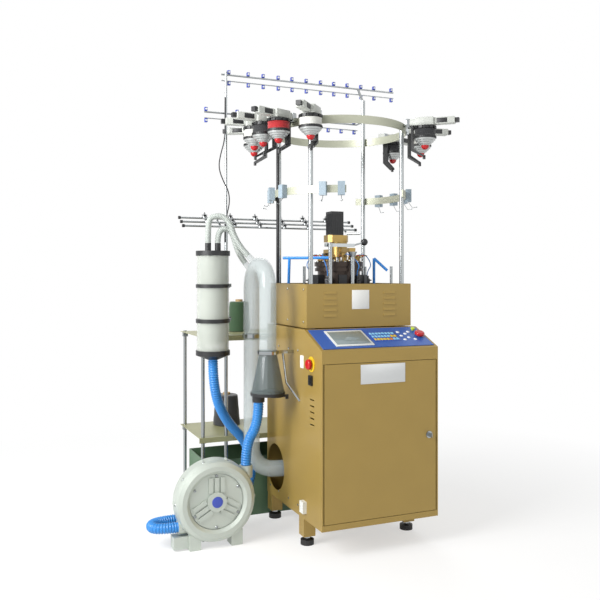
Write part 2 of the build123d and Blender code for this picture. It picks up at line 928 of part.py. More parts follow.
def rocker_pin(r, extra):
    x = rocker_axis_x()
    y = rocker_base_width * half_share - run_gap + extra
    return rod((x, rocker_y - y, rocker_z), (x, rocker_y + y, rocker_z), r)


def side_rocker():
    x = rocker_axis_x()
    a, b = rocker_width * half_share, rocker_height * half_share
    back = x + rocker_pin_radius * half_share
    rocker = bx(x - rocker_thick, back, rocker_y - a, rocker_y + a, rocker_z - b, rocker_z + b)
    return rocker + rocker_pin(rocker_pin_radius, 0)


def head_housing():
    w, f, b = housing_half_width, housing_front_y, cabinet_back_y
    body = bx(-w, w, f, b, housing_low_z, housing_top_z)
    body -= bx(-w + sheet, w - sheet, f + sheet, b - sheet, housing_low_z - sheet, housing_top_z + sheet)
    h = louvre_length * half_share
    for x in (-louvre_x, louvre_x):
        for i in range(louvre_count):
            z = louvre_z + louvre_pitch * i
            body += prism_x([(f, z), (f - louvre_proud, z), (f, z + louvre_height)], x - h, x + h)
    return body


def bed_plate():
    w, f, b = housing_half_width - sheet, housing_front_y + sheet, cabinet_back_y - sheet
    bed = bx(-w, w, f, b, bed_low_z, bed_top_z)
    h = bed_column_side * half_share
    reach = housing_half_width - bed_column_inset
    for x in (-reach, reach):
        for y in (housing_front_y + bed_column_front, cabinet_back_y - bed_column_back):
            bed += bx(x - h, x + h, y - h, y + h, console_top_z, bed_low_z)
    return bed - cz(0, 0, bed_low_z - sheet, bed_top_z + sheet, bed_hole_radius)


def needle_cylinder():
    low, top, r = cylinder_bottom_z, cylinder_top_z, cylinder_radius
    body = cz(0, 0, low, top, r)
    collar_z = bed_top_z + seat_gap
    body += cz(0, 0, collar_z, collar_z + collar_height, collar_radius)
    body += gear_blank(gear_teeth, gear_radius, 0, gear_low_z, gear_thick)
    body -= cz(0, 0, low - sheet, top + sheet, cylinder_bore)
    h = trick_width * half_share
    trick = bx(r - trick_depth, r + sheet, -h, h, top - trick_length, top + sheet)
    for cut in around(trick_count, trick):
        body -= cut
    dial = cz(0, 0, dial_low_z, dial_low_z + dial_thick, dial_radius)
    dial += cz(0, 0, dial_low_z + dial_thick, dial_shaft_top_z, dial_shaft_radius)
    return [body, dial]


def cam_ring():
    bore = cylinder_radius + cam_bore_gap
    low_ring, groove = cam_body_radius + cam_low_ring_width, cam_body_radius + cam_groove_width
    recess_z = bed_top_z + cam_recess_height
    points = [
        (cam_recess_radius, bed_top_z), (cam_body_radius, bed_top_z), (cam_body_radius, cam_body_top_z),
        (low_ring, cam_body_top_z), (low_ring, cam_low_ring_top_z), (groove, cam_low_ring_top_z),
        (groove, cam_groove_top_z), (cam_top_ring_radius, cam_groove_top_z), (cam_top_ring_radius, cam_top_z),
        (bore, cam_top_z), (bore, recess_z), (cam_recess_radius, recess_z),
    ]
    ring = turned(points)
    start = cam_body_radius - actuator_sink
    h = actuator_width * half_share
    block = bx(start, start + actuator_length, -h, h, bed_top_z, bed_top_z + actuator_height)
    for actuator in around(actuator_count, Rot(0, 0, actuator_turn) * block):
        ring += actuator
    return ring


def dial_bridge():
    body = cz(0, 0, bridge_low_z, bridge_block_low_z, bridge_sleeve_radius)
    h, z = bridge_arm_half, bridge_arm_low_z
    body += bx(-h, h, -column_reach, column_reach, z, z + bridge_arm_thick)
    x0, x1 = bridge_block_x - bridge_block_half_x, bridge_block_x + bridge_block_half_x
    y = bridge_block_half_y
    block = bx(x0, x1, -y, y, bridge_block_low_z, bridge_block_top_z)
    body += chamfer(block.edges().filter_by(Axis.Z), bridge_corner)
    return body - cz(0, 0, bridge_low_z - sheet, dial_shaft_top_z + seat_gap, dial_shaft_radius + shaft_gap)


def dial_motor():
    h, z = motor_half, bridge_block_top_z
    return bx(motor_x - h, motor_x + h, -h, h, z, z + motor_height)


def yarn_fingers():
    h = finger_width * half_share
    z = cam_top_z + finger_pin_rise
    block = bx(finger_in, finger_in + finger_length, -h, h, cam_top_z, cam_top_z + finger_height)
    tip = (cylinder_radius + finger_pin_gap, 0, z - finger_pin_drop)
    pin = rod((finger_in + h, 0, z), tip, finger_pin_radius)
    return around(finger_count, Rot(0, 0, finger_turn) * (block + pin))


def head_posts():
    posts = []
    head_z = bridge_arm_low_z - column_head_height
    for y in (-column_reach, column_reach):
        column = cz(0, y, bed_top_z, head_z, column_radius)
        top = upright_cone(column_radius, column_head_radius, column_head_height)
        posts.append(column + Pos(0, y, head_z) * top)
    for x_share, y_share in pillar_place_shares:
        x, y = housing_half_width * x_share, head_front_depth * y_share
        posts.append(cz(x, y, bed_top_z, bed_top_z + pillar_height, pillar_radius))
    x, y, z = lever_post_x, lever_post_y, lever_pin_z
    post = cz(x, y, bed_top_z, bed_top_z + lever_post_height, lever_post_radius)
    posts.append(post + rod((x, y, z), (x, lever_y + lever_thick, z), lever_pin_radius))
    return posts


def lift_lever():
    h, t = lever_height * half_share, lever_thick * half_share
    x, y, z = lever_post_x, lever_y, lever_pin_z
    end = x + lever_bar_length
    ball = (ball_x, y, z + lever_rise)
    bar = bx(x - lever_left, end, y - t, y + t, z - h, z + h)
    bar -= rod((x, y - 2 * t, z), (x, y + 2 * t, z), lever_pin_radius + shaft_gap)
    bar += rod((end - t, y, z), ball, lever_rod_radius)
    return bar + Pos(*ball) * Sphere(ball_radius)


def air_arms():
    x, y, z, r = arm_left_x, arm_left_y, arm_z, arm_radius
    end_x, end_y = -housing_half_width - arm_left_over, arm_left_end_y
    left = rod((x, y, z), (end_x, end_y, z), r) + cz(x, y, bed_top_z, z, r)
    top = (x + (end_x - x) * arm_strut_share, y + (end_y - y) * arm_strut_share, z)
    left += rod((-housing_half_width + arm_strut_inset, end_y, bed_top_z - r), top, r)
    left -= bx(-housing_half_width, 0, housing_front_y, cabinet_back_y, bed_low_z - r, bed_top_z)
    x, y = arm_right_x, arm_right_y
    end = (housing_half_width - arm_right_inset, arm_right_end_y, z - arm_right_drop)
    return [left, rod((x, y, z), end, r) + cz(x, y, bed_top_z, z, r)]


def servo_motor():
    s, x, top = servo_half, servo_x, console_top_z + servo_height
    body = bx(x - s, x + s, -s, s, console_top_z, top)
    return body + cz(x, 0, top, gear_low_z + gear_thick, servo_shaft_radius)


def motor_pinion():
    turn = 180.0 - 180.0 / pinion_teeth
    wheel = gear_blank(pinion_teeth, pinion_radius, turn, gear_low_z, gear_thick)
    top = gear_low_z + gear_thick + sheet
    return Pos(servo_x, 0, 0) * (wheel - cz(0, 0, gear_low_z - sheet, top, servo_shaft_radius + shaft_gap))


def control_box():
    x1, y1 = half_width - control_box_inset, cabinet_back_y - control_box_back
    x, y, low, t = x1 - control_box_width, y1 - control_box_depth, cabinet_bottom_z + sheet, sheet
    top = low + control_box_height
    return bx(x, x1, y, y1, low, top) - bx(x + t, x1 - t, y + t, y1 - t, low + t, top - t)


def ring_posts():
    posts = []
    for sx, sy in ((-1, -1), (1, -1), (-1, 1)):
        posts.append(cz(sx * post_x, sy * post_y, bed_top_z, ring_high_z, post_radius))
    tall = cz(post_x, post_y, bed_top_z, post_tall_z, post_radius)
    rack_end = (post_x, rack_y - rack_radius, rack_z - rack_radius)
    tall += rod((post_x, post_y, post_tall_z - post_radius), rack_end, pillar_radius)
    posts.append(tall)
    return posts


def ring_arc(turn_from, turn_to, z0, z1):
    inner = CenterArc((0, 0), ring_in, turn_from, turn_to - turn_from)
    outer = CenterArc((0, 0), ring_out, turn_from, turn_to - turn_from)
    ends = [Line(inner @ 0, outer @ 0), Line(inner @ 1, outer @ 1)]
    return Pos(0, 0, z0) * extrude(make_face([inner, outer, *ends]), amount=z1 - z0)


def ring_bands():
    ring = cz(0, 0, ring_low_z, ring_high_z, ring_out)
    ring -= cz(0, 0, ring_low_z - sheet, ring_high_z + sheet, ring_in)
    left = ring_arc(arc_left_from, arc_left_to, arc_low_z, arc_high_z)
    right = ring_arc(arc_right_from, arc_right_to, arc_low_z, arc_high_z)
    return [ring, left, right]


def yarn_sensors():
    h, start, z = sensor_wide * half_share, ring_out + seat_gap, sensor_low_z
    box = bx(start, start + sensor_deep, -h, h, z, z + sensor_height)
    return [Rot(0, 0, turn) * box for turn in sensor_turns]


def at_feeders(shape):
    return [Rot(0, 0, turn) * shape for turn in feeder_turns]


def feeder_housing():
    a, b, h = feeder_block_half_length, feeder_block_half, feeder_half_width
    body = bx(ring_out + feeder_ring_gap, feeder_end, -h, h, feeder_low_z, feeder_high_z)
    top = feeder_high_z + feeder_block_rise
    body += bx(feeder_axis - a, feeder_axis + a, -b, b, feeder_block_low_z, top)
    return body + cz(feeder_axis, 0, drum_high_z, feeder_block_low_z, feeder_stem_radius)


def feeder_bracket():
    a, t, end = feeder_axis - bracket_offset, bracket_thick, feeder_axis - bracket_end_offset
    bend_z = feeder_low_z - bracket_height
    end_z = bend_z - bracket_end_drop
    points = [
        (a, feeder_low_z), (a + t, feeder_low_z), (a + t, bend_z),
        (end, end_z), (end, end_z - t), (a, bend_z - t),
    ]
    face = Plane.XZ.offset(-bracket_half) * make_face(Polyline(*points, close=True))
    strap = extrude(face, amount=2 * bracket_half)
    return strap + cz(end, 0, end_z - eyelet_height, end_z, eyelet_radius)


def feeder_plug():
    z0, z1 = feeder_low_z + plug_inset_z, feeder_high_z - plug_inset_z
    return bx(feeder_end, feeder_end + plug_length, -plug_half, plug_half, z0, z1)


def cable_loom():
    x, y = -post_x - loom_offset_x, post_y - loom_offset_y
    return cz(x, y, bed_top_z, bed_top_z + loom_height, loom_radius)


def feeder_spool():
    z = drum_high_z
    z1 = z - drum_height
    z2 = z1 - drum_ring_height
    z3 = z2 - bowl_height
    points = [
        (0, z), (drum_radius, z), (drum_radius, z1), (drum_ring_radius, z1), (drum_ring_radius, z2),
        (drum_radius, z2), (bowl_radius, z3), (nose_radius, nose_low_z), (0, nose_low_z),
    ]
    return Pos(feeder_axis, 0, 0) * turned(points)


def feeder_tip():
    ball = Pos(feeder_axis, 0, tip_z) * Sphere(tip_radius)
    r = 2 * tip_radius
    return ball - bx(feeder_axis - r, feeder_axis + r, -r, r, nose_low_z, nose_low_z + r)


def winder():
    z0, z1, r = winder_low_z - sheet, winder_high_z + sheet, winder_radius
    disc = cz(0, 0, winder_low_z, winder_high_z, r)
    disc -= cz(0, 0, z0, z1, feeder_stem_radius + shaft_gap)
    h = winder_slot_wide * half_share
    for slot in around(winder_slots, bx(r - winder_slot_deep, r + sheet, -h, h, z0, z1)):
        disc -= slot
    return Pos(feeder_axis, 0, 0) * disc


def creel_places():
    left, right, front, back = creel_left_x, creel_right_x, creel_front_y, creel_back_y
    return [(left, front), (creel_mast_x, front), (left, back), (right, front), (right, back)]


def creel_posts():
    low = upper_shelf_z + creel_post_rise
    heights = [canister_high_z + creel_tall_rise, creel_mast_step_z, low, low, low]
    h = clamp_side * half_share
    solids = []
    for (x, y), z in zip(creel_places(), heights):
        post = cz(x, y, 0, z, creel_post_radius) + cz(x, y, 0, creel_foot_height, creel_foot_radius)
        if x == creel_mast_x:
            post += cz(x, y, z, creel_mast_top_z, creel_mast_radius)
        for top in shelf_tops:
            under = top - sheet
            post += bx(x - h, x + h, y - h, y + h, under - clamp_height, under)
        solids.append(post)
    front = creel_front_y - creel_post_radius
    x0, x1 = creel_left_x - hold_plate_margin, creel_mast_x + hold_plate_margin
    arm_y = canister_y + canister_band_radius + seat_gap
    for z0, z1 in canister_bands:
        plate = bx(x0, x1, front - hold_plate_thick, front, z0, z1)
        plate += bx(canister_x - hold_arm_half, canister_x + hold_arm_half, arm_y, front, z0, z1)
        solids.append(plate)
    return solids


def on_shelf(place_shares):
    x_share, y_share = place_shares
    x = shelf_left_x + (shelf_right_x - shelf_left_x) * x_share
    y = shelf_front_y + (shelf_back_y - shelf_front_y) * y_share
    return x, y


def creel_shelves():
    shelves = []
    seats = ((brown_place_shares, brown_low_radius), (green_place_shares, green_low_radius))
    x0, x1, y0, y1 = shelf_left_x, shelf_right_x, shelf_front_y, shelf_back_y
    for top, (place_shares, radius) in zip(shelf_tops, seats):
        shelf = bx(x0, x1, y0, y1, top - sheet, top)
        shelf += bx(x0, x1, y0 - sheet, y0, top - shelf_lip, top)
        for x, y in creel_places():
            shelf -= cz(x, y, top - 2 * sheet, top + sheet, creel_post_radius + post_hole_gap)
        shelf -= cz(*on_shelf(place_shares), top - cone_seat_depth, top + sheet, radius + cone_seat_gap)
        shelves.append(shelf)
    x0, x1 = creel_left_x + bin_left_gap, creel_right_x - bin_right_gap
    y0, y1 = creel_front_y + bin_front_gap, creel_back_y - bin_back_gap
    t = bin_wall
    tray = bx(x0, x1, y0, y1, 0, bin_height)
    shelves.append(tray - bx(x0 + t, x1 - t, y0 + t, y1 - t, t, bin_height + t))
    return shelves


def tension_bar(y, z):
    x0, x1 = tension_left_x, tension_right_x
    bar = rod((x0, y, z), (x1, y, z), tension_radius)
    for x in (x0, x1):
        bar += rod((x, y, z), (x + tension_cap_length, y, z), tension_cap_radius)
    pitch = (x1 - x0) / (tensioner_count + 1)
    top = z + tensioner_height
    for i in range(tensioner_count):
        x = x0 + pitch * (i + 1)
        bar += cz(x, y, z, top, tensioner_radius)
        bar += cz(x, y, top, top + tensioner_pin_height, tensioner_pin_radius)
    return bar


def creel_rods():
    rods = []
    racks = ((rack_left_x, rack_right_x, rack_z), (rack_low_left_x, rack_low_right_x, rack_low_z))
    for x0, x1, z in racks:
        rods.append(rod((x0, rack_y, z), (x1, rack_y, z), rack_radius))
        rods.append(rod((x0, rack_thin_y, z - rack_drop), (x1, rack_thin_y, z - rack_drop), rack_thin_radius))
    x = rack_low_right_x - rack_radius
    y0, y1 = post_y + post_radius + rack_gap, rack_y - rack_radius - rack_gap
    rods.append(rod((x, y0, rack_low_z), (x, y1, rack_low_z), rack_radius))
    for i in range(tension_count):
        rods.append(tension_bar(tension_y + tension_step_y * i, tension_z + tension_step_z * i))
    rise = tension_step_y * (tension_count - 1)
    lift = tension_step_z * (tension_count - 1)
    under = tension_radius + cross_radius + rack_gap
    lean = math.atan2(tension_step_z, tension_step_y)
    y, z = tension_y + under * math.sin(lean), tension_z - under * math.cos(lean)
    right_x = creel_right_x - cross_right_inset
    for x in (creel_mast_x - cross_left_over, right_x):
        rods.append(rod((x, y, z), (x, y + rise, z + lift), cross_radius))
    z = tension_z - 2 * under
    rods.append(rod((right_x, tension_y, z), (post_x - post_radius, post_y + post_radius, z), cross_radius))
    return rods


def yarn_guides():
    guides = []
    h = guide_side * half_share
    rows = (
        (guide_top_shares, rack_left_x, rack_right_x, rack_z),
        (guide_low_shares, rack_low_left_x, rack_low_right_x, rack_low_z),
    )
    for shares, left, right, z in rows:
        high, low = z + rack_radius, z - rack_drop - rack_thin_radius
        for share in shares:
            x = left + (right - left) * share
            guides.append(bx(x - h, x + h, rack_y - h, rack_y + h, high, high + guide_height))
            guides.append(bx(x - h, x + h, rack_thin_y - h, rack_thin_y + h, low - guide_height, low))
    return guides


def yarn_cone(place_shares, shelf_z, low_radius, high_radius):
    body = upright_cone(low_radius, high_radius, cone_package_height)
    body += cz(0, 0, cone_package_height, cone_package_height + cone_core_height, cone_core_radius)
    return Pos(*on_shelf(place_shares), shelf_z - cone_seat_depth) * body


def yarn_cones():
    green = yarn_cone(green_place_shares, upper_shelf_z, green_low_radius, green_high_radius)
    brown = yarn_cone(brown_place_shares, lower_shelf_z, brown_low_radius, brown_high_radius)
    return [green, brown]


def pipe_z(x, y, z0, z1, outer, inner):
    return cz(x, y, z0, z1, outer) - cz(x, y, z0 - sheet, z1 + sheet, inner)


def canister_sections():
    x, y, r = canister_x, canister_y, canister_radius
    solids = [pipe_z(x, y, z0, z1, r, r - canister_wall) for z0, z1 in canister_tubes]
    low = canister_low_z + sleeve_rise
    solids.append(pipe_z(x, y, low, canister_top_z, sleeve_radius, sleeve_radius - sleeve_wall))
    return solids


def canister_caps():
    x, y, r = canister_x, canister_y, canister_band_radius
    solids = [pipe_z(x, y, z0, z1, r, canister_band_bore) for z0, z1 in canister_bands]
    lid_z = canister_top_z + canister_lid_thick
    lid = cz(x, y, canister_top_z, lid_z, r)
    for stub_x in (x - canister_stub_x, x + canister_stub_x):
        lid += cz(stub_x, y, lid_z, stub_top_z, canister_stub_radius)
    solids.append(lid)
    hopper = cz(x, y, canister_low_z - hopper_rim_height, canister_low_z, r)
    cone = upright_cone(hopper_outlet_radius, r, hopper_cone_height)
    solids.append(hopper + Pos(x, y, hopper_low_z) * cone)
    return solids


def tube_route():
    return [
        (0, 0, cabinet_deck_z + tube_inner_rise), (0, 0, tube_port_z), (tube_x, tube_port_y, tube_port_z),
        (tube_x, tube_port_y, arch_z), (tube_x, drop_y, arch_z), (tube_x, drop_y, cone_neck_z + tube_end_gap),
    ]


def spigot_ends(i):
    start = Vector(tube_x, *spigot_places[i])
    way = Vector(*spigot_way_shares[i]).normalized()
    return start, start + way * spigot_length, way


def sock_tube():
    arch = (tube_port_y - drop_y) * half_share - shaft_gap
    radii = [tube_bend, tube_bend, arch, arch]
    tube = swept(tube_route(), radii, tube_radius)
    for i in range(len(spigot_places)):
        start, tip, _ = spigot_ends(i)
        tube += rod(start, tip, spigot_radius)
    return tube - swept(tube_route(), radii, tube_radius - tube_wall)


def collector_cone():
    r, n, t = cone_radius, cone_neck_radius, cone_wall
    z0, z1, z2 = cone_low_z, cone_neck_z, cone_neck_z + cone_neck_height
    bore = tube_radius + collar_gap
    points = [(r - t, z0), (r, z0), (n, z1), (n, z2), (bore, z2), (bore, z1)]
    return Pos(tube_x, drop_y, 0) * turned(points)


def cone_base():
    low, top, t = base_low_z, cone_low_z, ear_thick * half_share
    plate = cz(tube_x, drop_y, low, top, base_radius)
    sx, sy = tube_x + suction_x, drop_y + suction_y
    plate += cz(sx, sy, low - suction_length, low, suction_radius)
    end = flap_pin_x + ear_half
    for y in (flap_y - flap_lug_half - ear_half, flap_y + flap_lug_half + ear_half):
        plate += bx(flap_pin_x - ear_half, end, y - t, y + t, low - ear_height, low)
        plate += bx(tube_x, end, y - t, y + t, low, low + ear_thick)
    plate -= cz(sx, sy, low - suction_length - sheet, top + sheet, suction_bore)
    plate -= cz(flap_x, flap_y, low - sheet, top + sheet, outlet_radius)
    return plate - flap_pin(flap_pin_radius + shaft_gap, run_gap)


def flap_pin(r, extra):
    y = flap_pin_half + extra
    return rod((flap_pin_x, flap_y - y, flap_pin_z), (flap_pin_x, flap_y + y, flap_pin_z), r)


def cone_flap():
    h = flap_lug_half
    disc = cz(flap_x, flap_y, flap_low_z, flap_high_z, flap_radius)
    disc += bx(flap_x, flap_pin_x, flap_y - h, flap_y + h, flap_low_z, flap_high_z)
    return disc + flap_pin(flap_pin_radius, 0)


def tube_clamp(y, z0, z1, bore):
    """Strap round an upright tube with an arm to the cabinet's side."""
    clamp = cz(tube_x, y, z0, z1, bore + collar_wall)
    clamp += bx(tube_x, -half_width, y - bracket_arm_half, y + bracket_arm_half, z0, z1)
    return clamp - cz(tube_x, y, z0 - sheet, z1 + sheet, bore)


def tube_brackets():
    z0 = cabinet_deck_z - riser_clamp_drop
    riser = tube_clamp(tube_port_y, z0, z0 + riser_clamp_height, tube_radius + collar_gap)
    z0, z1 = cone_neck_z + collar_wall, cone_neck_z + cone_neck_height - sheet
    neck = tube_clamp(drop_y, z0, z1, cone_neck_radius + collar_gap)
    foot = (-half_width, bent_foot_y, cone_neck_z - bent_foot_drop)
    elbow = (-half_width - bent_elbow_out, bent_elbow_y, cone_neck_z - bent_elbow_drop)
    tip = (-half_width - bent_tip_out, drop_y, cone_neck_z + bent_tip_rise)
    r = bent_rod_radius
    bent = rod(foot, elbow, r) + rod(elbow, tip, r) + Pos(*elbow) * Sphere(r)
    bent -= bx(-half_width, 0, bent_foot_y - 2 * r, bent_foot_y + 2 * r, foot[2] - 2 * r, foot[2] + 2 * r)
    return [riser, neck + bent]


def blower_housing():
    x, z, r, seat, bore = blower_x, blower_z, blower_radius, blower_seat, blower_bore
    front, back, inner = blower_front_y, blower_back_y, blower_back_y - blower_plate
    points = [
        (seat, blower_cover_y), (seat + rim_step, front + rim_round), (seat + rim_face_in, front),
        (r - rim_face_out, front), (r - rim_edge, front + rim_round), (r, front + rim_side_front),
        (r, back - rim_side_back), (r - rim_back_edge, back), (shaft_hole_radius, back),
        (shaft_hole_radius, inner), (bore, inner), (bore, blower_cover_y),
    ]
    body = turned_y(points, x, z)
    y0 = front + blower_lug_sink
    for i in range(blower_lug_count):
        dx, dz = spread(360.0 / blower_lug_count * i, r - blower_lug_inset)
        body += rod((x + dx, y0, z + dz), (x + dx, y0 + blower_lug_length, z + dz), blower_lug_radius)
    y0, y1 = front + foot_box_sink, front + foot_box_sink + foot_box_depth
    for x0 in (x - foot_box_x - foot_box_width, x + foot_box_x):
        body += bx(x0, x0 + foot_box_width, y0, y1, 0, foot_box_height)
    x0, y0, z0 = x - terminal_out, front + terminal_sink, terminal_low_z
    body += bx(x0, x0 + terminal_length, y0, y0 + terminal_depth, z0, z0 + terminal_height)
    y0, z0 = port_y, port_left_z
    body += rod((x - port_left_out, y0, z0), (x - port_left_in, y0, z0), port_radius)
    z0 = z + port_right_rise
    return body + cz(x + port_right_reach, port_y, z0, z0 + port_right_length, port_radius)


def blower_cover():
    x, z = blower_x, blower_z
    y0, y1 = blower_cover_y - blower_cover_thick, blower_cover_y
    body = rod((x, y0, z), (x, y1, z), blower_seat - blower_cover_gap)
    body += rod((x, y0 - blower_hub_proud, z), (x, y0, z), blower_hub_radius)
    h = blower_rib_width * half_share
    for side in (-1, 0, 1):
        middle = side * blower_rib_pitch
        rib = bx(middle - h, middle + h, y0 - blower_rib_proud, y0, blower_rib_in, blower_rib_out)
        for turn in (0, 120, 240):
            body += Pos(x, 0, z) * Rot(0, turn, 0) * rib
    return body


def blower_impeller():
    x, z, r = blower_x, blower_z, blower_bore - impeller_rim_gap
    y0 = blower_cover_y + impeller_front_gap
    y1 = blower_back_y - blower_plate - impeller_back_gap
    body = rod((x, y1 - impeller_disc, z), (x, y1, z), r)
    body += rod((x, y0, z), (x, y1, z), impeller_hub)
    body += rod((x, y1, z), (x, blower_back_y + shaft_reach, z), shaft_radius)
    h = impeller_blade_thick * half_share
    blade = bx(-h, h, y0, y1 - impeller_disc, impeller_hub - h, r - h)
    for i in range(impeller_blades):
        body += Pos(x, 0, z) * Rot(0, 360.0 / impeller_blades * i, 0) * blade
    return body


def blower_motor():
    x, z, r, back = blower_x, blower_z, blower_motor_radius, blower_back_y
    body = rod((x, back, z), (x, back + blower_motor_length, z), r)
    h, y0 = motor_fin_thick * half_share, back + motor_fin_start
    fin = bx(-h, h, y0, y0 + motor_fin_length, r - h, r + motor_fin_height)
    for i in range(motor_fin_count):
        body += Pos(x, 0, z) * Rot(0, 360.0 / motor_fin_count * i, 0) * fin
    end = back + shaft_reach + seat_gap
    return body - rod((x, back - sheet, z), (x, end, z), shaft_radius + shaft_gap)


def white_route(i):
    """Route from a canister stub up, over and down in line with a spigot of the sock tube."""
    _, tip, way = spigot_ends(i)
    lead = tip + way * white_lead[i]
    start = Vector(canister_x + (2 * i - 1) * canister_stub_x, canister_y, stub_top_z)
    over = Vector(tip.X - start.X, tip.Y - start.Y, 0).normalized()
    crest = start + over * white_lean[i] + Vector(0, 0, white_rise[i])
    route = [start, crest, crest + over * white_top[i], lead, tip]
    if white_low_rise[i]:
        route.insert(1, start + Vector(0, 0, white_low_rise[i]))
    return [tuple(point) for point in route]


nodes = {
    "cabinet_shell": cabinet_shell(),
    "levelling_feet": levelling_feet(),
    "console_housing": console_housing(),
    "control_panel": control_panel(),
    "estop_button": estop_button(),
    "start_button": start_button(),
    "front_door": front_door(),
    "door_lock": door_lock(),
    "side_fittings": side_fittings(),
    "side_estop_button": side_estop_button(),
    "side_rocker": side_rocker(),
    "head_housing": head_housing(),
    "bed_plate": bed_plate(),
    "cam_ring": cam_ring(),
    "needle_cylinder": needle_cylinder(),
    "dial_bridge": dial_bridge(),
    "dial_motor": dial_motor(),
    "yarn_fingers": yarn_fingers(),
    "head_posts": head_posts(),
    "lift_lever": lift_lever(),
    "air_arms": air_arms(),
    "servo_motor": servo_motor(),
    "motor_pinion": motor_pinion(),
    "control_box": control_box(),
    "ring_posts": ring_posts(),
    "ring_bands": ring_bands(),
    "yarn_sensors": yarn_sensors(),
    "feeder_housings": at_feeders(feeder_housing()),
    "feeder_brackets": at_feeders(feeder_bracket()) + at_feeders(feeder_plug()) + [cable_loom()],
    "feeder_spools": at_feeders(feeder_spool()),
    "feeder_tips": at_feeders(feeder_tip()),
    "creel_posts": creel_posts(),
    "creel_shelves": creel_shelves(),
    "creel_rods": creel_rods(),
    "yarn_guides": yarn_guides(),
    "yarn_cones": yarn_cones(),
    "canister_sections": canister_sections(),
    "canister_caps": canister_caps(),
    "sock_tube": sock_tube(),
    "collector_cone": collector_cone(),
    "cone_base": cone_base(),
    "cone_flap": cone_flap(),
    "tube_brackets": tube_brackets(),
    "blower_housing": blower_housing(),
    "blower_cover": blower_cover(),
    "blower_impeller": blower_impeller(),
    "blower_motor": blower_motor(),
}
for number, disc in enumerate(at_feeders(winder()), 1):
    nodes[f"winder_{number}"] = disc

# The rigid pieces set the box; its middle goes to the origin.
lows, highs = [], []
for shape in nodes.values():
    for solid in shape if isinstance(shape, list) else [shape]:
        box = solid.bounding_box()
        lows.append(box.min)
        highs.append(box.max)
shift = Vector(
    -(min(v.X for v in lows) + max(v.X for v in highs)) * half_share,
    -(min(v.Y for v in lows) + max(v.Y for v in highs)) * half_share,
    0,
)

hoses = {
    "blue_hose_canister": (hose_a_points, blue_radius),
    "blue_hose_collector": (hose_b_points, blue_radius),
    "white_hose_upper": (white_route(0), white_radius),
    "white_hose_lower": (white_route(1), white_radius),
    "creel_cable": (cable_points, cable_radius),
}
for name, (points, radius) in hoses.items():
    radii = corner_radii(points)
    nodes[name] = swept(points, radii, radius)
    print(name, [round(v, 1) for v in radii], [tuple(round(c, 1) for c in p) for p in points])

for name, shape in nodes.items():
    pieces = shape if isinstance(shape, list) else [shape]
    placed = [Pos(*shift) * solid for piece in pieces for solid in piece.solids()]
    export_step(placed[0] if len(placed) == 1 else Compound(placed), f"parts/{name}.step")
print("nodes", len(nodes), "shift", shift)
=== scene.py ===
"""Looks of a circular sock knitting machine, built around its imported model."""
import math

import bmesh
import bpy
from mathutils import Matrix, Vector


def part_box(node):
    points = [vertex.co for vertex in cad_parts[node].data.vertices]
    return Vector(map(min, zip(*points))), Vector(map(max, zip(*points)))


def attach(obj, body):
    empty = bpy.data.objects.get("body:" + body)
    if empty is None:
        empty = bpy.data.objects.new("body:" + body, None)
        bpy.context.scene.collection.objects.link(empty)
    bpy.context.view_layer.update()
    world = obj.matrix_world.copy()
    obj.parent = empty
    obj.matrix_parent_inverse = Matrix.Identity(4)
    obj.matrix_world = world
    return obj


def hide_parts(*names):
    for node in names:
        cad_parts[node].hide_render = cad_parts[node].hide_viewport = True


bl_info = {
    "name": "Sock Knitting Machine Looks",
    "version": (1, 0, 0),
    "blender": (4, 5, 0),
    "location": "View3D > Sidebar > Knitting",
    "description": "Finishes, hoses, controls and small fittings of a circular sock knitting machine",
    "category": "Object",
}

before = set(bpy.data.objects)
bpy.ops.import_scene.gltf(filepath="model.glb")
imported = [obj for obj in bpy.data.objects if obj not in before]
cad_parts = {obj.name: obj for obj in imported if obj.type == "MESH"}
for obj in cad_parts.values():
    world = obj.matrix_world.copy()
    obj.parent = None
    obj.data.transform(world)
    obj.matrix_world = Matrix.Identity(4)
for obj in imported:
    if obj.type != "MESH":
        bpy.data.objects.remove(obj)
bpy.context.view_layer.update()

# Places are in millimetres from the needle cylinder's axis and the floor, shapes of small parts in metres.
MM = 0.001
BODY = "machine"
UP = Vector((0, 0, 1))
ACROSS = Vector((1, 0, 0))
INWARD = Vector((0, 1, 0))


def cylinder_axis():
    """The place on the floor under the middle of the needle cylinder."""
    low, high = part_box("needle_cylinder")
    return Vector(((low.x + high.x) / 2, (low.y + high.y) / 2, 0))


AXIS = cylinder_axis()

# The camera was found from the cabinet's edges in the photograph.
CAMERA_PLACE = (-1410, -2902, 1075)
CAMERA_YAW = 22.92
CAMERA_LENS = 44.56
CAMERA_SHIFT = -0.0425

# Console slope: the depth and height of its front edge, its rise over its depth, and the panel's thickness.
SLOPE_FRONT = (-381, 787)
SLOPE_RISE = (167, 70)
PANEL_THICK = 3

# Yarn feeders: the turn of each arm, the yarn on it, and the drum's distance along the arm in metres.
FEEDER_TURNS = [-132.8, -155.4, -171.0, 173.5, 148.5, -42.9, -11.2, 21.7]
FEEDER_YARNS = ["white", "red", "black", "white", "white", "black", "white", "black"]
FEEDER_AXIS = 0.375

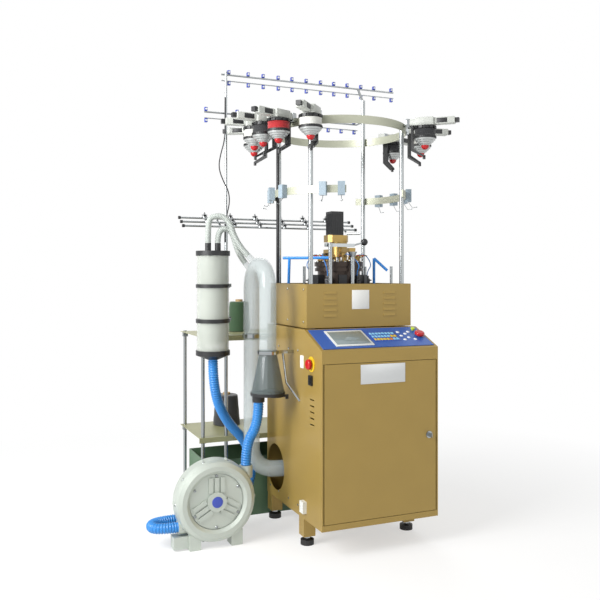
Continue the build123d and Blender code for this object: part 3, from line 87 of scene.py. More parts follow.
# Routes of the hoses and the cable, in metres from the needle cylinder's axis.
CANISTER_HOSE = [
    (-0.539, 0.089, 0.722), (-0.539, 0.089, 0.604), (-0.472, 0.148, 0.455), (-0.352, 0.172, 0.335),
    (-0.334, 0.172, 0.178), (-0.440, 0.095, 0.092), (-0.630, 0.064, 0.084), (-0.812, 0.052, 0.086),
    (-0.812, -0.045, 0.088), (-0.721, -0.045, 0.088),
]
COLLECTOR_HOSE = [
    (-0.395, -0.070, 0.560), (-0.395, -0.070, 0.472), (-0.440, -0.045, 0.390), (-0.440, -0.045, 0.3041),
]
UPPER_HOSE = [
    (-0.560, 0.089, 1.206), (-0.560, 0.089, 1.262), (-0.55436, 0.08694, 1.318), (-0.48296, 0.06090, 1.318),
    (-0.44966, 0.04861, 1.20378), (-0.40408, 0.03213, 1.15328),
]
LOWER_HOSE = [
    (-0.518, 0.089, 1.206), (-0.518, 0.089, 1.266), (-0.4582, 0.0836, 1.266), (-0.4352, 0.0806, 1.1680),
    (-0.4016, 0.0784, 1.1245),
]
CREEL_CABLE = [
    (-0.4478, 0.2132, 1.850), (-0.449, 0.212, 1.785), (-0.4478, 0.213, 1.720), (-0.452, 0.211, 1.655),
    (-0.470, 0.207, 1.600), (-0.481, 0.204, 1.540), (-0.462, 0.202, 1.485), (-0.436, 0.201, 1.440),
    (-0.430, 0.203, 1.390), (-0.442, 0.207, 1.335), (-0.4496, 0.2114, 1.275), (-0.450, 0.211, 1.215),
]
BLUE_DIAMETER = 0.043
WHITE_DIAMETER = 0.026
CABLE_DIAMETER = 0.005

# Edges sharper than these angles in degrees stay crisp, on most pieces and on the hoses and the cable.
CRISP_ANGLE = 35
RIB_CRISP_ANGLE = 60


def at(x, y, z):
    """A place in the frame from millimetres measured at the needle cylinder's axis."""
    return AXIS + Vector((x, y, z)) * MM


def slope_matrix(x, v, h):
    """Frame of a place on the console's slope: across, up the slope, and above its sheet."""
    along = Vector((0, *SLOPE_RISE)).normalized()
    normal = Vector((0, -along.z, along.y))
    place = at(x, *SLOPE_FRONT) + (along * v + normal * h) * MM
    return Matrix.Translation(place) @ Matrix((ACROSS, along, normal)).transposed().to_4x4()


def feeder_matrix(turn):
    """Frame at the machine's axis whose X runs along a feeder's arm."""
    return Matrix.Translation(AXIS) @ Matrix.Rotation(math.radians(turn), 4, "Z")


def level_way(turn):
    """Level direction at a turn in degrees."""
    return Vector((math.cos(math.radians(turn)), math.sin(math.radians(turn)), 0))


def circle(count, radius, height, start=0.0):
    """Places on a circle round the machine's axis, each facing up and turned outwards."""
    ways = [level_way(start + 360 * k / count) for k in range(count)]
    return [(at(0, 0, height) + way * radius, UP, way) for way in ways]


def linear(hex_colour):
    """Linear colour with alpha from an sRGB hex value."""
    values = [int(hex_colour[i:i + 2], 16) / 255 for i in (1, 3, 5)]
    return tuple(v / 12.92 if v <= 0.04045 else ((v + 0.055) / 1.055) ** 2.4 for v in values) + (1.0,)


class KnittingSizes(bpy.types.PropertyGroup):
    """Sizes of the small repeated pieces"""

    needle_count: bpy.props.IntProperty(name="Needles", description="Needles round the cylinder", default=84)
    hose_rib: bpy.props.FloatProperty(
        name="Hose rib", description="Pitch of the suction hose's ribs", default=0.010, unit="LENGTH")
    white_rib: bpy.props.FloatProperty(
        name="White hose rib", description="Pitch of the white hose's ribs", default=0.006, unit="LENGTH")
    screw_radius: bpy.props.FloatProperty(
        name="Screw radius", description="Radius of a panel screw's head", default=0.0045, unit="LENGTH")


class KnittingColours(bpy.types.PropertyGroup):
    """Colours that a user would change"""

    paint: bpy.props.FloatVectorProperty(
        name="Paint", description="Cabinet paint", size=4, subtype="COLOR", default=linear("#9c8241"))
    hose: bpy.props.FloatVectorProperty(
        name="Hose", description="Suction hose", size=4, subtype="COLOR", default=linear("#2a7ac0"))
    panel: bpy.props.FloatVectorProperty(
        name="Panel", description="Console film", size=4, subtype="COLOR", default=linear("#2b58a6"))


def sizes():
    return bpy.context.scene.knitting_sizes


def colours():
    return bpy.context.scene.knitting_colours


# Materials

# Soft clouds in a finish's colour run nine to the metre, and its roughness swings this far either way.
CLOUD_MM = 1000 / 9
ROUGH_SWING = 0.07

# Width and depth of a wound thread, in millimetres.
THREAD_MM = 1.6
THREAD_DEPTH_MM = 1.0


def add(tree, kind, inputs=None, **settings):
    """Adds a node with its settings; an input is a value or another node's output."""
    node = tree.nodes.new(kind)
    for name, value in settings.items():
        setattr(node, name, value)
    for name, value in (inputs or {}).items():
        if isinstance(value, bpy.types.NodeSocket):
            tree.links.new(value, node.inputs[name])
        else:
            node.inputs[name].default_value = value
    return node


def finish_of(name, colour, rough, metal=0.0, grain_mm=3.0, spread=0.05, bump=0.02, stretch=(1, 1, 1),
              **extra):
    """A finish whose colour and relief vary over grains of a real size."""
    found = bpy.data.materials.get(name)
    if found:
        return found
    material = bpy.data.materials.new(name)
    material.use_nodes = True
    tree = material.node_tree
    shader = tree.nodes["Principled BSDF"]
    place = add(tree, "ShaderNodeTexCoord")
    mapping = add(tree, "ShaderNodeMapping", {"Vector": place.outputs["Object"], "Scale": stretch})
    grain = add(tree, "ShaderNodeTexNoise", {
        "Vector": mapping.outputs[0], "Scale": 1 / (grain_mm * MM), "Detail": 3.0})
    cloud = add(tree, "ShaderNodeTexNoise", {
        "Vector": place.outputs["Object"], "Scale": 1 / (CLOUD_MM * MM), "Detail": 2.0})
    dark = tuple(c * (1 - spread) for c in colour[:3]) + (1.0,)
    light = tuple(min(1.0, c * (1 + spread)) for c in colour[:3]) + (1.0,)
    ramp = add(tree, "ShaderNodeMixRGB", {"Fac": cloud.outputs["Fac"], "Color1": dark, "Color2": light})
    tree.links.new(ramp.outputs[0], shader.inputs["Base Color"])
    span = add(tree, "ShaderNodeMapRange", {
        "Value": grain.outputs["Fac"],
        "To Min": max(0.02, rough - ROUGH_SWING), "To Max": min(1.0, rough + ROUGH_SWING)})
    tree.links.new(span.outputs[0], shader.inputs["Roughness"])
    relief = add(tree, "ShaderNodeBump", {
        "Height": grain.outputs["Fac"], "Strength": bump, "Distance": grain_mm * MM})
    tree.links.new(relief.outputs[0], shader.inputs["Normal"])
    shader.inputs["Metallic"].default_value = metal
    for socket, value in extra.items():
        shader.inputs[socket.replace("_", " ").title()].default_value = value
    return material


def gold_powder_coat():
    """Metallic powder coat: soft gloss with a fine orange-peel grain."""
    return finish_of("gold_powder_coat", tuple(colours().paint), rough=0.40, metal=0.20, grain_mm=2.5,
                     bump=0.03, coat_weight=0.1)


def chromed_tube():
    """Chrome plate on drawn tube: sharp reflections with long, faint draw marks."""
    return finish_of("chromed_tube", linear("#a5a9aa"), rough=0.18, metal=1.0, grain_mm=2.0, spread=0.03,
                     bump=0.002, stretch=(1, 1, 0.004))


def ground_steel():
    """Ground tool steel: grey, with fine upright scratches."""
    return finish_of("ground_steel", linear("#8b8d8e"), rough=0.34, metal=1.0, grain_mm=1.5, spread=0.10,
                     bump=0.03, stretch=(1, 1, 0.2))


def blued_steel():
    """Oil-blackened steel of the cam ring: dark brown with worn, brighter grain."""
    return finish_of("blued_steel", linear("#453c37"), rough=0.36, metal=0.8, grain_mm=1.5, spread=0.20,
                     bump=0.03)


def rolled_strip():
    """Rolled strip: pale and satin, with faint marks along its length."""
    return finish_of("rolled_strip", linear("#b4b6a3"), rough=0.42, metal=0.35, grain_mm=4.0, bump=0.01,
                     stretch=(1, 1, 6))


def die_cast_aluminium():
    """Die-cast aluminium: pale grey, matt, with a fine sand-like skin."""
    return finish_of("die_cast_aluminium", linear("#b8bfb7"), rough=0.46, metal=0.45, grain_mm=2.0,
                     spread=0.08, bump=0.08)


def machined_brass():
    """Machined brass: warm yellow with tool marks."""
    return finish_of("machined_brass", linear("#9c8350"), rough=0.30, metal=1.0, grain_mm=1.5, spread=0.10)


def black_abs():
    """Black moulded ABS: half matt, with a spark-eroded grain."""
    return finish_of("black_abs", linear("#1c1d1f"), rough=0.42, grain_mm=1.5, spread=0.15, bump=0.05)


def white_abs():
    """Off-white moulded ABS: even and softly glossy."""
    return finish_of("white_abs", linear("#d4d6d2"), rough=0.40, grain_mm=2.0, spread=0.03)


def feeder_abs():
    """Pale grey moulded ABS of the feeders' housings: half matt with a fine grain."""
    return finish_of("feeder_abs", linear("#bdc0ba"), rough=0.42, grain_mm=2.0, spread=0.04, bump=0.03)


def satin_aluminium():
    """Turned aluminium of the feeders' bowls: satin, with fine turning marks."""
    return finish_of("satin_aluminium", linear("#b4b7b6"), rough=0.34, metal=0.7, grain_mm=1.0, spread=0.06,
                     stretch=(0.2, 0.2, 1))


def grey_abs():
    """Grey-blue moulded ABS of the yarn sensors: half matt and even."""
    return finish_of("grey_abs", linear("#93a3ae"), rough=0.42, grain_mm=2.0, spread=0.06)


def blue_abs():
    """Blue moulded guide blocks: deep colour with a soft gloss."""
    return finish_of("blue_abs", linear("#3a4cab"), rough=0.36, grain_mm=2.0, spread=0.06)


def red_gloss():
    """Red moulding of buttons and feeder tips: smooth, with a clear highlight."""
    return finish_of("red_gloss", linear("#b3141a"), rough=0.22, bump=0.01)


def yellow_abs():
    """Yellow moulded back plate of the stop button: even and half matt."""
    return finish_of("yellow_abs", linear("#d9b51c"), rough=0.40, spread=0.04)


def lime_gloss():
    """Yellow-green push button: bright, with a clear highlight."""
    return finish_of("lime_gloss", linear("#b9cf2a"), rough=0.25, bump=0.01)


def black_rubber():
    """Black moulded rubber: matt, with a slightly uneven skin."""
    return finish_of("black_rubber", linear("#202021"), rough=0.62, grain_mm=1.5, spread=0.12, bump=0.06)


def blue_hose_vinyl():
    """Blue ribbed vinyl hose: satin, so that each rib catches a thin highlight."""
    return finish_of("blue_hose_vinyl", tuple(colours().hose), rough=0.32, grain_mm=4.0, spread=0.10)


def air_tube_blue():
    """Bright blue polyurethane air tube: glossy and even."""
    return finish_of("air_tube_blue", linear("#2f86d8"), rough=0.25, grain_mm=4.0, bump=0.01)


def white_hose_vinyl():
    """White ribbed vinyl hose: milky grey-white and satin."""
    return finish_of("white_hose_vinyl", linear("#acb2ad"), rough=0.38, grain_mm=4.0)


def clear_acrylic():
    """Clear extruded acrylic tube: pale, seen mostly by its edges and gloss."""
    return finish_of("clear_acrylic", linear("#bcc6c6"), rough=0.10, grain_mm=6.0, spread=0.03, bump=0.01,
                     alpha=0.32)


def smoked_acrylic():
    """Smoked acrylic of the collector cone: dark and clear, with sharp highlights."""
    return finish_of("smoked_acrylic", linear("#626d6d"), rough=0.10, grain_mm=6.0, spread=0.06, bump=0.01,
                     alpha=0.48)


def frosted_acrylic():
    """Clear filter canister wall with a film of lint inside: cloudy under a gloss."""
    return finish_of("frosted_acrylic", linear("#c9cec6"), rough=0.20, grain_mm=8.0, spread=0.06, bump=0.01,
                     alpha=0.45)


def filter_cloth():
    """Pale woven filter sleeve: matt and rough, its grain drawn coarser than life so that it shows."""
    return finish_of("filter_cloth", linear("#9aa097"), rough=0.80, spread=0.12, bump=0.15)


def shelf_enamel():
    """Olive-grey stoved enamel on the creel's shelves: smooth, with a dull shine."""
    return finish_of("shelf_enamel", linear("#8f8f6a"), rough=0.45, spread=0.08)


def bin_green():
    """Green painted sheet of the waste bin: dull and a little uneven."""
    return finish_of("bin_green", linear("#4f6a50"), rough=0.50, spread=0.10, bump=0.03)


def panel_film():
    """Blue polyester film over the console's plate: even, with a soft shine."""
    return finish_of("panel_film", tuple(colours().panel), rough=0.34, grain_mm=2.0, spread=0.04, bump=0.01)


def screen_glass():
    """Grey display glass that mirrors the room."""
    return finish_of("screen_glass", linear("#7d8a8c"), rough=0.10, grain_mm=5.0, bump=0.0, coat_weight=0.5)


def plate_white():
    """White laminated plate, left bare: even and half matt."""
    return finish_of("plate_white", linear("#e4e4df"), rough=0.40, spread=0.02, bump=0.01)


def plate_silver():
    """Silver anodised plate, left bare: brushed across."""
    return finish_of("plate_silver", linear("#c9cbcb"), rough=0.32, metal=0.6, grain_mm=1.0,
                     stretch=(0.05, 1, 1))


def key_finish(name, hex_colour):
    """Domed membrane key of one colour: smooth, with a small highlight."""
    return finish_of(name, linear(hex_colour), rough=0.30, grain_mm=2.0, spread=0.03, bump=0.01)


def card_core():
    """Brown card tube of a yarn package: matt and fibrous."""
    return finish_of("card_core", linear("#b09468"), rough=0.7, spread=0.08, bump=0.05)


def wound_yarn(name, hex_colour):
    """Yarn wound in layers: soft and ribbed, its thread drawn wider than life so that it shows."""
    found = bpy.data.materials.get(name)
    if found:
        return found
    material = finish_of(name, linear(hex_colour), rough=0.80, spread=0.12, bump=0.0)
    tree = material.node_tree
    place = add(tree, "ShaderNodeTexCoord")
    turns = add(tree, "ShaderNodeTexWave", {
        "Vector": place.outputs["Object"], "Scale": 1 / (THREAD_MM * MM) / math.tau,
        "Distortion": 6.0, "Detail": 2.0}, bands_direction="Z")
    relief = add(tree, "ShaderNodeBump", {
        "Height": turns.outputs["Fac"], "Strength": 0.5, "Distance": THREAD_DEPTH_MM * MM})
    shader = tree.nodes["Principled BSDF"]
    tree.links.new(relief.outputs[0], shader.inputs["Normal"])
    shader.inputs["Sheen Weight"].default_value = 0.3
    return material


# Mesh makers

def ride_on(piece, body):
    """Puts a piece on its body."""
    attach(piece, body)


def new_piece(name, bm, materials, body=BODY, angle=CRISP_ANGLE):
    """Turns a bmesh into a finished piece that rides on a body."""
    mesh = bpy.data.meshes.new(name)
    bmesh.ops.recalc_face_normals(bm, faces=bm.faces)
    bm.to_mesh(mesh)
    bm.free()
    mesh.shade_smooth()
    mesh.set_sharp_from_angle(angle=math.radians(angle))
    for material in materials:
        mesh.materials.append(material)
    piece = bpy.data.objects.new(name, mesh)
    bpy.context.scene.collection.objects.link(piece)
    ride_on(piece, body)
    return piece


def put(bm, verts, faces, matrix, index):
    """Adds vertices and faces to a bmesh, placed by a matrix and with one finish."""
    made = [bm.verts.new(matrix @ Vector(v)) for v in verts]
    for face in faces:
        bm.faces.new([made[i] for i in face]).material_index = index


def ring_faces(rows, steps):
    """Faces of a closed tube of rings: quads between neighbouring rings and a cap at both ends."""
    faces = []
    for row in range(rows - 1):
        a, b = row * steps, (row + 1) * steps
        for k in range(steps):
            n = (k + 1) % steps
            faces.append((a + k, a + n, b + n, b + k))
    last = (rows - 1) * steps
    faces.append(tuple(range(steps - 1, -1, -1)))
    faces.append(tuple(range(last, last + steps)))
    return faces


def lathe(bm, outline, matrix=Matrix.Identity(4), index=0, steps=32):
    """Solid of revolution about local Z from (radius, height) points in metres, both ends closed."""
    verts = []
    for r, z in outline:
        for k in range(steps):
            turn = math.tau * k / steps
            verts.append((r * math.cos(turn), r * math.sin(turn), z))
    put(bm, verts, ring_faces(len(outline), steps), matrix, index)


def block(bm, low, high, bevel=0.0, matrix=Matrix.Identity(4), index=0):
    """Box between two corners in metres with rounded edges."""
    part = bmesh.new()
    bmesh.ops.create_cube(part, size=1.0)
    low, high = Vector(low), Vector(high)
    for v in part.verts:
        v.co = Vector([low[i] + (v.co[i] + 0.5) * (high[i] - low[i]) for i in range(3)])
    if bevel:
        bmesh.ops.bevel(part, geom=list(part.edges), offset=bevel, segments=2, profile=0.5, affect="EDGES")
    part.verts.index_update()
    put(bm, [v.co for v in part.verts], [[v.index for v in f.verts] for f in part.faces], matrix, index)
    part.free()


def pad(bm, half, low, high, bevel, matrix, index):
    """Block centred on a place, from its half sizes and its low and high faces."""
    block(bm, (-half[0], -half[1], low), (half[0], half[1], high), bevel, matrix, index)


def rod(bm, a, b, radius, index=0, steps=12):
    """Round rod between two points."""
    a, b = Vector(a), Vector(b)
    turn = (b - a).to_track_quat("Z", "Y").to_matrix().to_4x4()
    lathe(bm, [(radius, 0), (radius, (b - a).length)], Matrix.Translation(a) @ turn, index, steps)


def tube_along(bm, points, radius_at, index=0, steps=20):
    """Tube along points, its radius given by a function of the length run so far."""
    side = None
    verts, run = [], 0.0
    for i, p in enumerate(points):
        if i:
            run += (p - points[i - 1]).length
        way = (points[min(i + 1, len(points) - 1)] - points[max(i - 1, 0)]).normalized()
        if side is None:
            side = way.orthogonal().normalized()
        side = (side - way * side.dot(way)).normalized()
        over = way.cross(side)
        r = radius_at(run)
        for k in range(steps):
            turn = math.tau * k / steps
            verts.append(p + (side * math.cos(turn) + over * math.sin(turn)) * r)
    put(bm, verts, ring_faces(len(points), steps), Matrix.Identity(4), index)


def route_points(route):
    """Points read from a smooth spline that has the route's points as its control points."""
    curve = bpy.data.curves.new("route", "CURVE")
    curve.dimensions = "3D"
    spline = curve.splines.new("NURBS")
    spline.points.add(len(route) - 1)
    for point, place in zip(spline.points, route):
        point.co = (*(AXIS + Vector(place)), 1.0)
    spline.order_u = 3
    spline.use_endpoint_u = True
    curve.resolution_u = 40
    holder = bpy.data.objects.new("route", curve)
    bpy.context.scene.collection.objects.link(holder)
    line = bpy.data.meshes.new_from_object(holder.evaluated_get(bpy.context.evaluated_depsgraph_get()))
    points = [v.co.copy() for v in line.vertices]
    bpy.data.objects.remove(holder)
    bpy.data.meshes.remove(line)
    return points


def evenly(points, step):
    """The same line with points a fixed step apart, and its length."""
    marks, run = [0.0], 0.0
    for a, b in zip(points, points[1:]):
        run += (b - a).length
        marks.append(run)
    count = max(2, round(run / step))
    out, j = [], 0
    for i in range(count + 1):
        want = run * i / count
        while j < len(points) - 2 and marks[j + 1] < want:
            j += 1
        share = (want - marks[j]) / max(marks[j + 1] - marks[j], 1e-9)
        out.append(points[j].lerp(points[j + 1], min(1.0, max(0.0, share))))
    return out, run


def repeat_tree():
    """Node tree that sets a part on every point, its Z along facing and its X along turn."""
    tree = bpy.data.node_groups.get("repeat_part")
    if tree:
        return tree
    tree = bpy.data.node_groups.new("repeat_part", "GeometryNodeTree")
    tree.interface.new_socket("Geometry", in_out="INPUT", socket_type="NodeSocketGeometry")
    tree.interface.new_socket("Part", in_out="INPUT", socket_type="NodeSocketObject")
    tree.interface.new_socket("Material", in_out="INPUT", socket_type="NodeSocketMaterial")
    tree.interface.new_socket("Scale", in_out="INPUT", socket_type="NodeSocketFloat").default_value = 1.0
    tree.interface.new_socket("Geometry", in_out="OUTPUT", socket_type="NodeSocketGeometry")
    given = add(tree, "NodeGroupInput")
    facing = add(tree, "GeometryNodeInputNamedAttribute", {"Name": "facing"}, data_type="FLOAT_VECTOR")
    turn = add(tree, "GeometryNodeInputNamedAttribute", {"Name": "turn"}, data_type="FLOAT_VECTOR")
    stand = add(tree, "FunctionNodeAlignRotationToVector", {"Vector": facing.outputs[0]}, axis="Z")
    swing = add(tree, "FunctionNodeAlignRotationToVector", {
        "Rotation": stand.outputs[0], "Vector": turn.outputs[0]}, axis="X", pivot_axis="Z")
    part = add(tree, "GeometryNodeObjectInfo", {"Object": given.outputs["Part"]})
    copies = add(tree, "GeometryNodeInstanceOnPoints", {
        "Points": given.outputs["Geometry"], "Instance": part.outputs["Geometry"],
        "Rotation": swing.outputs[0], "Scale": given.outputs["Scale"]})
    real = add(tree, "GeometryNodeRealizeInstances", {"Geometry": copies.outputs[0]})
    dressed = add(tree, "GeometryNodeSetMaterial", {
        "Geometry": real.outputs[0], "Material": given.outputs["Material"]})
    add(tree, "NodeGroupOutput", {"Geometry": dressed.outputs[0]})
    return tree


def repeat(name, part, places, material, body=BODY):
    """One plain mesh of copies of a bmesh part at (point, facing, turn) places."""
    shape = bpy.data.meshes.new(name + "_part")
    bmesh.ops.recalc_face_normals(part, faces=part.faces)
    part.to_mesh(shape)
    part.free()
    sample = bpy.data.objects.new(name + "_part", shape)
    bpy.context.scene.collection.objects.link(sample)
    dots = bpy.data.meshes.new(name)
    dots.from_pydata([p for p, _, _ in places], [], [])
    for label, column in (("facing", 1), ("turn", 2)):
        layer = dots.attributes.new(label, "FLOAT_VECTOR", "POINT")
        for value, place in zip(layer.data, places):
            value.vector = place[column]
    piece = bpy.data.objects.new(name, dots)
    bpy.context.scene.collection.objects.link(piece)
    modifier = piece.modifiers.new("repeat", "NODES")
    modifier.node_group = repeat_tree()
    values = {"Part": sample, "Material": material, "Scale": 1.0}
    for socket in modifier.node_group.interface.items_tree:
        if socket.name in values:
            modifier[socket.identifier] = values[socket.name]
    graph = bpy.context.evaluated_depsgraph_get()
    mesh = bpy.data.meshes.new_from_object(piece.evaluated_get(graph))
    piece.modifiers.remove(modifier)
    piece.data = mesh
    mesh.name = name
    mesh.shade_smooth()
    mesh.set_sharp_from_angle(angle=math.radians(CRISP_ANGLE))
    bpy.data.objects.remove(sample)
    ride_on(piece, body)
    return piece


def screw_part(radius, height):
    """Socket screw: a domed head with a sunk middle."""
    bm = bmesh.new()
    lathe(bm, [(radius, 0), (radius, height * 0.7), (radius * 0.8, height), (radius * 0.45, height),
               (radius * 0.4, height * 0.4)], steps=12)
    return bm


def dress(material, *names):
    """Gives CAD nodes a finish."""
    for name in names:
        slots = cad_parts[name].data.materials
        slots.clear()
        slots.append(material)


def dress_by(name, materials, choose):
    """Gives each face of a CAD node the finish whose number choose finds from its middle in millimetres."""
    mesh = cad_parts[name].data
    mesh.materials.clear()
    for material in materials:
        mesh.materials.append(material)
    for face in mesh.polygons:
        face.material_index = int(choose((face.center - AXIS) / MM))


# Pieces

class KNIT_OT_stage(bpy.types.Operator):
    """Make the floor, the lights and the camera"""

    bl_idname = "knit.stage"
    bl_label = "Stage"

    # Level of the white surroundings as light on the object, and as the eye and mirrors see them.
    SKY_LIGHT = 0.54
    SKY_SEEN = 1.0
    # Each light's name, place, width in metres and power in watts, and the place that all are aimed at.
    LIGHTS = (
        ("key_light", (-2900, -800, 2200), 1.8, 135),
        ("fill_light", (1500, -2900, 1900), 2.2, 10),
        ("back_light", (900, 2600, 2900), 2.0, 30),
    )
    LIGHT_AIM = (0, 0, 900)
    # Half the floor's width, and the distances between which it fades to plain white, in metres.
    FLOOR_HALF = 14
    FADE_START = 0.9
    FADE_END = 2.4
    # Share of plain white in the floor under the machine.
    NEAR_WHITE = 0.55

    def execute(self, context):
        self.floor(context.scene)
        self.sky(context.scene)
        for name, place, size, watts in self.LIGHTS:
            lamp = bpy.data.lights.new(name, "AREA")
            lamp.energy = watts
            lamp.size = size
            light = bpy.data.objects.new(name, lamp)
            light.location = at(*place)
            aim = at(*self.LIGHT_AIM) - light.location
            light.rotation_euler = aim.to_track_quat("-Z", "Y").to_euler()
            context.scene.collection.objects.link(light)
        self.camera(context.scene)
        context.scene.view_settings.view_transform = "Standard"
        return {"FINISHED"}

    def floor(self, scene):
        bm = bmesh.new()
        bmesh.ops.create_grid(bm, x_segments=1, y_segments=1, size=self.FLOOR_HALF)
        mesh = bpy.data.meshes.new("floor")
        bm.to_mesh(mesh)
        bm.free()
        floor = bpy.data.objects.new("floor", mesh)
        scene.collection.objects.link(floor)
        mesh.materials.append(self.paper())

    def sky(self, scene):
        scene.world = scene.world or bpy.data.worlds.new("studio")
        scene.world.use_nodes = True
        tree = scene.world.node_tree
        tree.nodes.clear()
        level = add(tree, "ShaderNodeMapRange", {
            "Value": self.seen(tree), "To Min": self.SKY_LIGHT, "To Max": self.SKY_SEEN})
        sky = add(tree, "ShaderNodeBackground", {"Color": (1, 1, 1, 1), "Strength": level.outputs[0]})
        add(tree, "ShaderNodeOutputWorld", {"Surface": sky.outputs[0]})

    def camera(self, scene):
        lens = bpy.data.cameras.new("camera")
        lens.lens = CAMERA_LENS
        lens.shift_y = CAMERA_SHIFT
        camera = bpy.data.objects.new("camera", lens)
        camera.location = at(*CAMERA_PLACE)
        camera.rotation_euler = (math.pi / 2, 0, -math.radians(CAMERA_YAW))
        scene.collection.objects.link(camera)
        scene.camera = camera

    @staticmethod
    def seen(tree):
        """One where the eye, a mirror or a glass looks, zero for light that falls on the object."""
        ray = add(tree, "ShaderNodeLightPath")
        direct = add(tree, "ShaderNodeMath", {
            0: ray.outputs["Is Camera Ray"], 1: ray.outputs["Is Transmission Ray"]}, operation="MAXIMUM")
        return add(tree, "ShaderNodeMath", {
            0: direct.outputs[0], 1: ray.outputs["Is Glossy Ray"]}, operation="MAXIMUM").outputs[0]

    def paper(self):
        """White studio paper: it takes the shadow under the machine and runs out to plain white."""
        material = bpy.data.materials.new("studio_paper")
        material.use_nodes = True
        tree = material.node_tree
        shader = tree.nodes["Principled BSDF"]
        shader.inputs["Base Color"].default_value = linear("#f6f6f5")
        shader.inputs["Roughness"].default_value = 0.8
        place = add(tree, "ShaderNodeTexCoord")
        reach = add(tree, "ShaderNodeVectorMath", {0: place.outputs["Object"]}, operation="LENGTH")
        fade = add(tree, "ShaderNodeMapRange", {
            "Value": reach.outputs["Value"], "From Min": self.FADE_START, "From Max": self.FADE_END,
            "To Min": self.NEAR_WHITE, "To Max": 1.0})
        share = add(tree, "ShaderNodeMath", {0: fade.outputs[0], 1: self.seen(tree)}, operation="MULTIPLY")
        glow = add(tree, "ShaderNodeEmission", {"Color": (1, 1, 1, 1), "Strength": 1.0})
        mixed = add(tree, "ShaderNodeMixShader", {
            0: share.outputs[0], 1: shader.outputs[0], 2: glow.outputs[0]})
        tree.links.new(mixed.outputs[0], tree.nodes["Material Output"].inputs["Surface"])
        return material


class KNIT_OT_cabinet(bpy.types.Operator):
    """Paint the cabinet and add its bare plates and screws"""

    bl_idname = "knit.cabinet"
    bl_label = "Cabinet"

    FOOT_TOP = 24
    # Heights above which a side fitting is the stop button's back plate, or the rocker's frame.
    BACK_PLATE_LOW = 690
    ROCKER_LOW = 400
    # Bare plates: name, low corner, high corner, body and edge. The one on the door is silver.
    PLATES = (
        ("door_plate", (-93, -383, 655), (103, -381, 730), "door", 1.0),
        ("head_plate", (-38, -201.4, 934), (41, -200, 1012), BODY, 0.6),
        ("side_plate", (-256.4, -208, 704), (-255, -174, 754), BODY, 0.6),
    )
    # Screws on the left of the cabinet and the head: the sheet's place, their heights and depths.
    SIDE_SCREWS = (
        (-255, (770, 150), (-150, -50, 60, 160)),
        (-239, (885, 1015), (-170, 0, 170)),
    )
    SCREW_HEIGHT = 2.5

    def execute(self, context):
        dress(gold_powder_coat(), "cabinet_shell", "console_housing", "front_door", "head_housing")
        dress_by("levelling_feet", [black_rubber(), chromed_tube()], lambda m: m.z > self.FOOT_TOP)
        dress(chromed_tube(), "door_lock")
        dress(red_gloss(), "estop_button", "side_estop_button")
        dress(lime_gloss(), "start_button")
        dress(black_abs(), "side_rocker", "servo_motor")
        dress(grey_abs(), "control_box")
        dress_by("side_fittings", [yellow_abs(), black_abs(), white_abs()], self.fitting)
        for name, low, high, body, edge in self.PLATES:
            bm = bmesh.new()
            block(bm, at(*low), at(*high), edge * MM)
            new_piece(name, bm, [plate_silver() if body == "door" else plate_white()], body)
        screws = []
        for x, heights, depths in self.SIDE_SCREWS:
            screws += [(at(x, y, z), -ACROSS, UP) for z in heights for y in depths]
        screw = screw_part(sizes().screw_radius, self.SCREW_HEIGHT * MM)
        repeat("panel_screws", screw, screws, chromed_tube())
        return {"FINISHED"}

    def fitting(self, middle):
        """Yellow for the back plate, black for the rocker's frame and white for the inlet."""
        if middle.z > self.BACK_PLATE_LOW:
            return 0
        return 1 if middle.z > self.ROCKER_LOW else 2


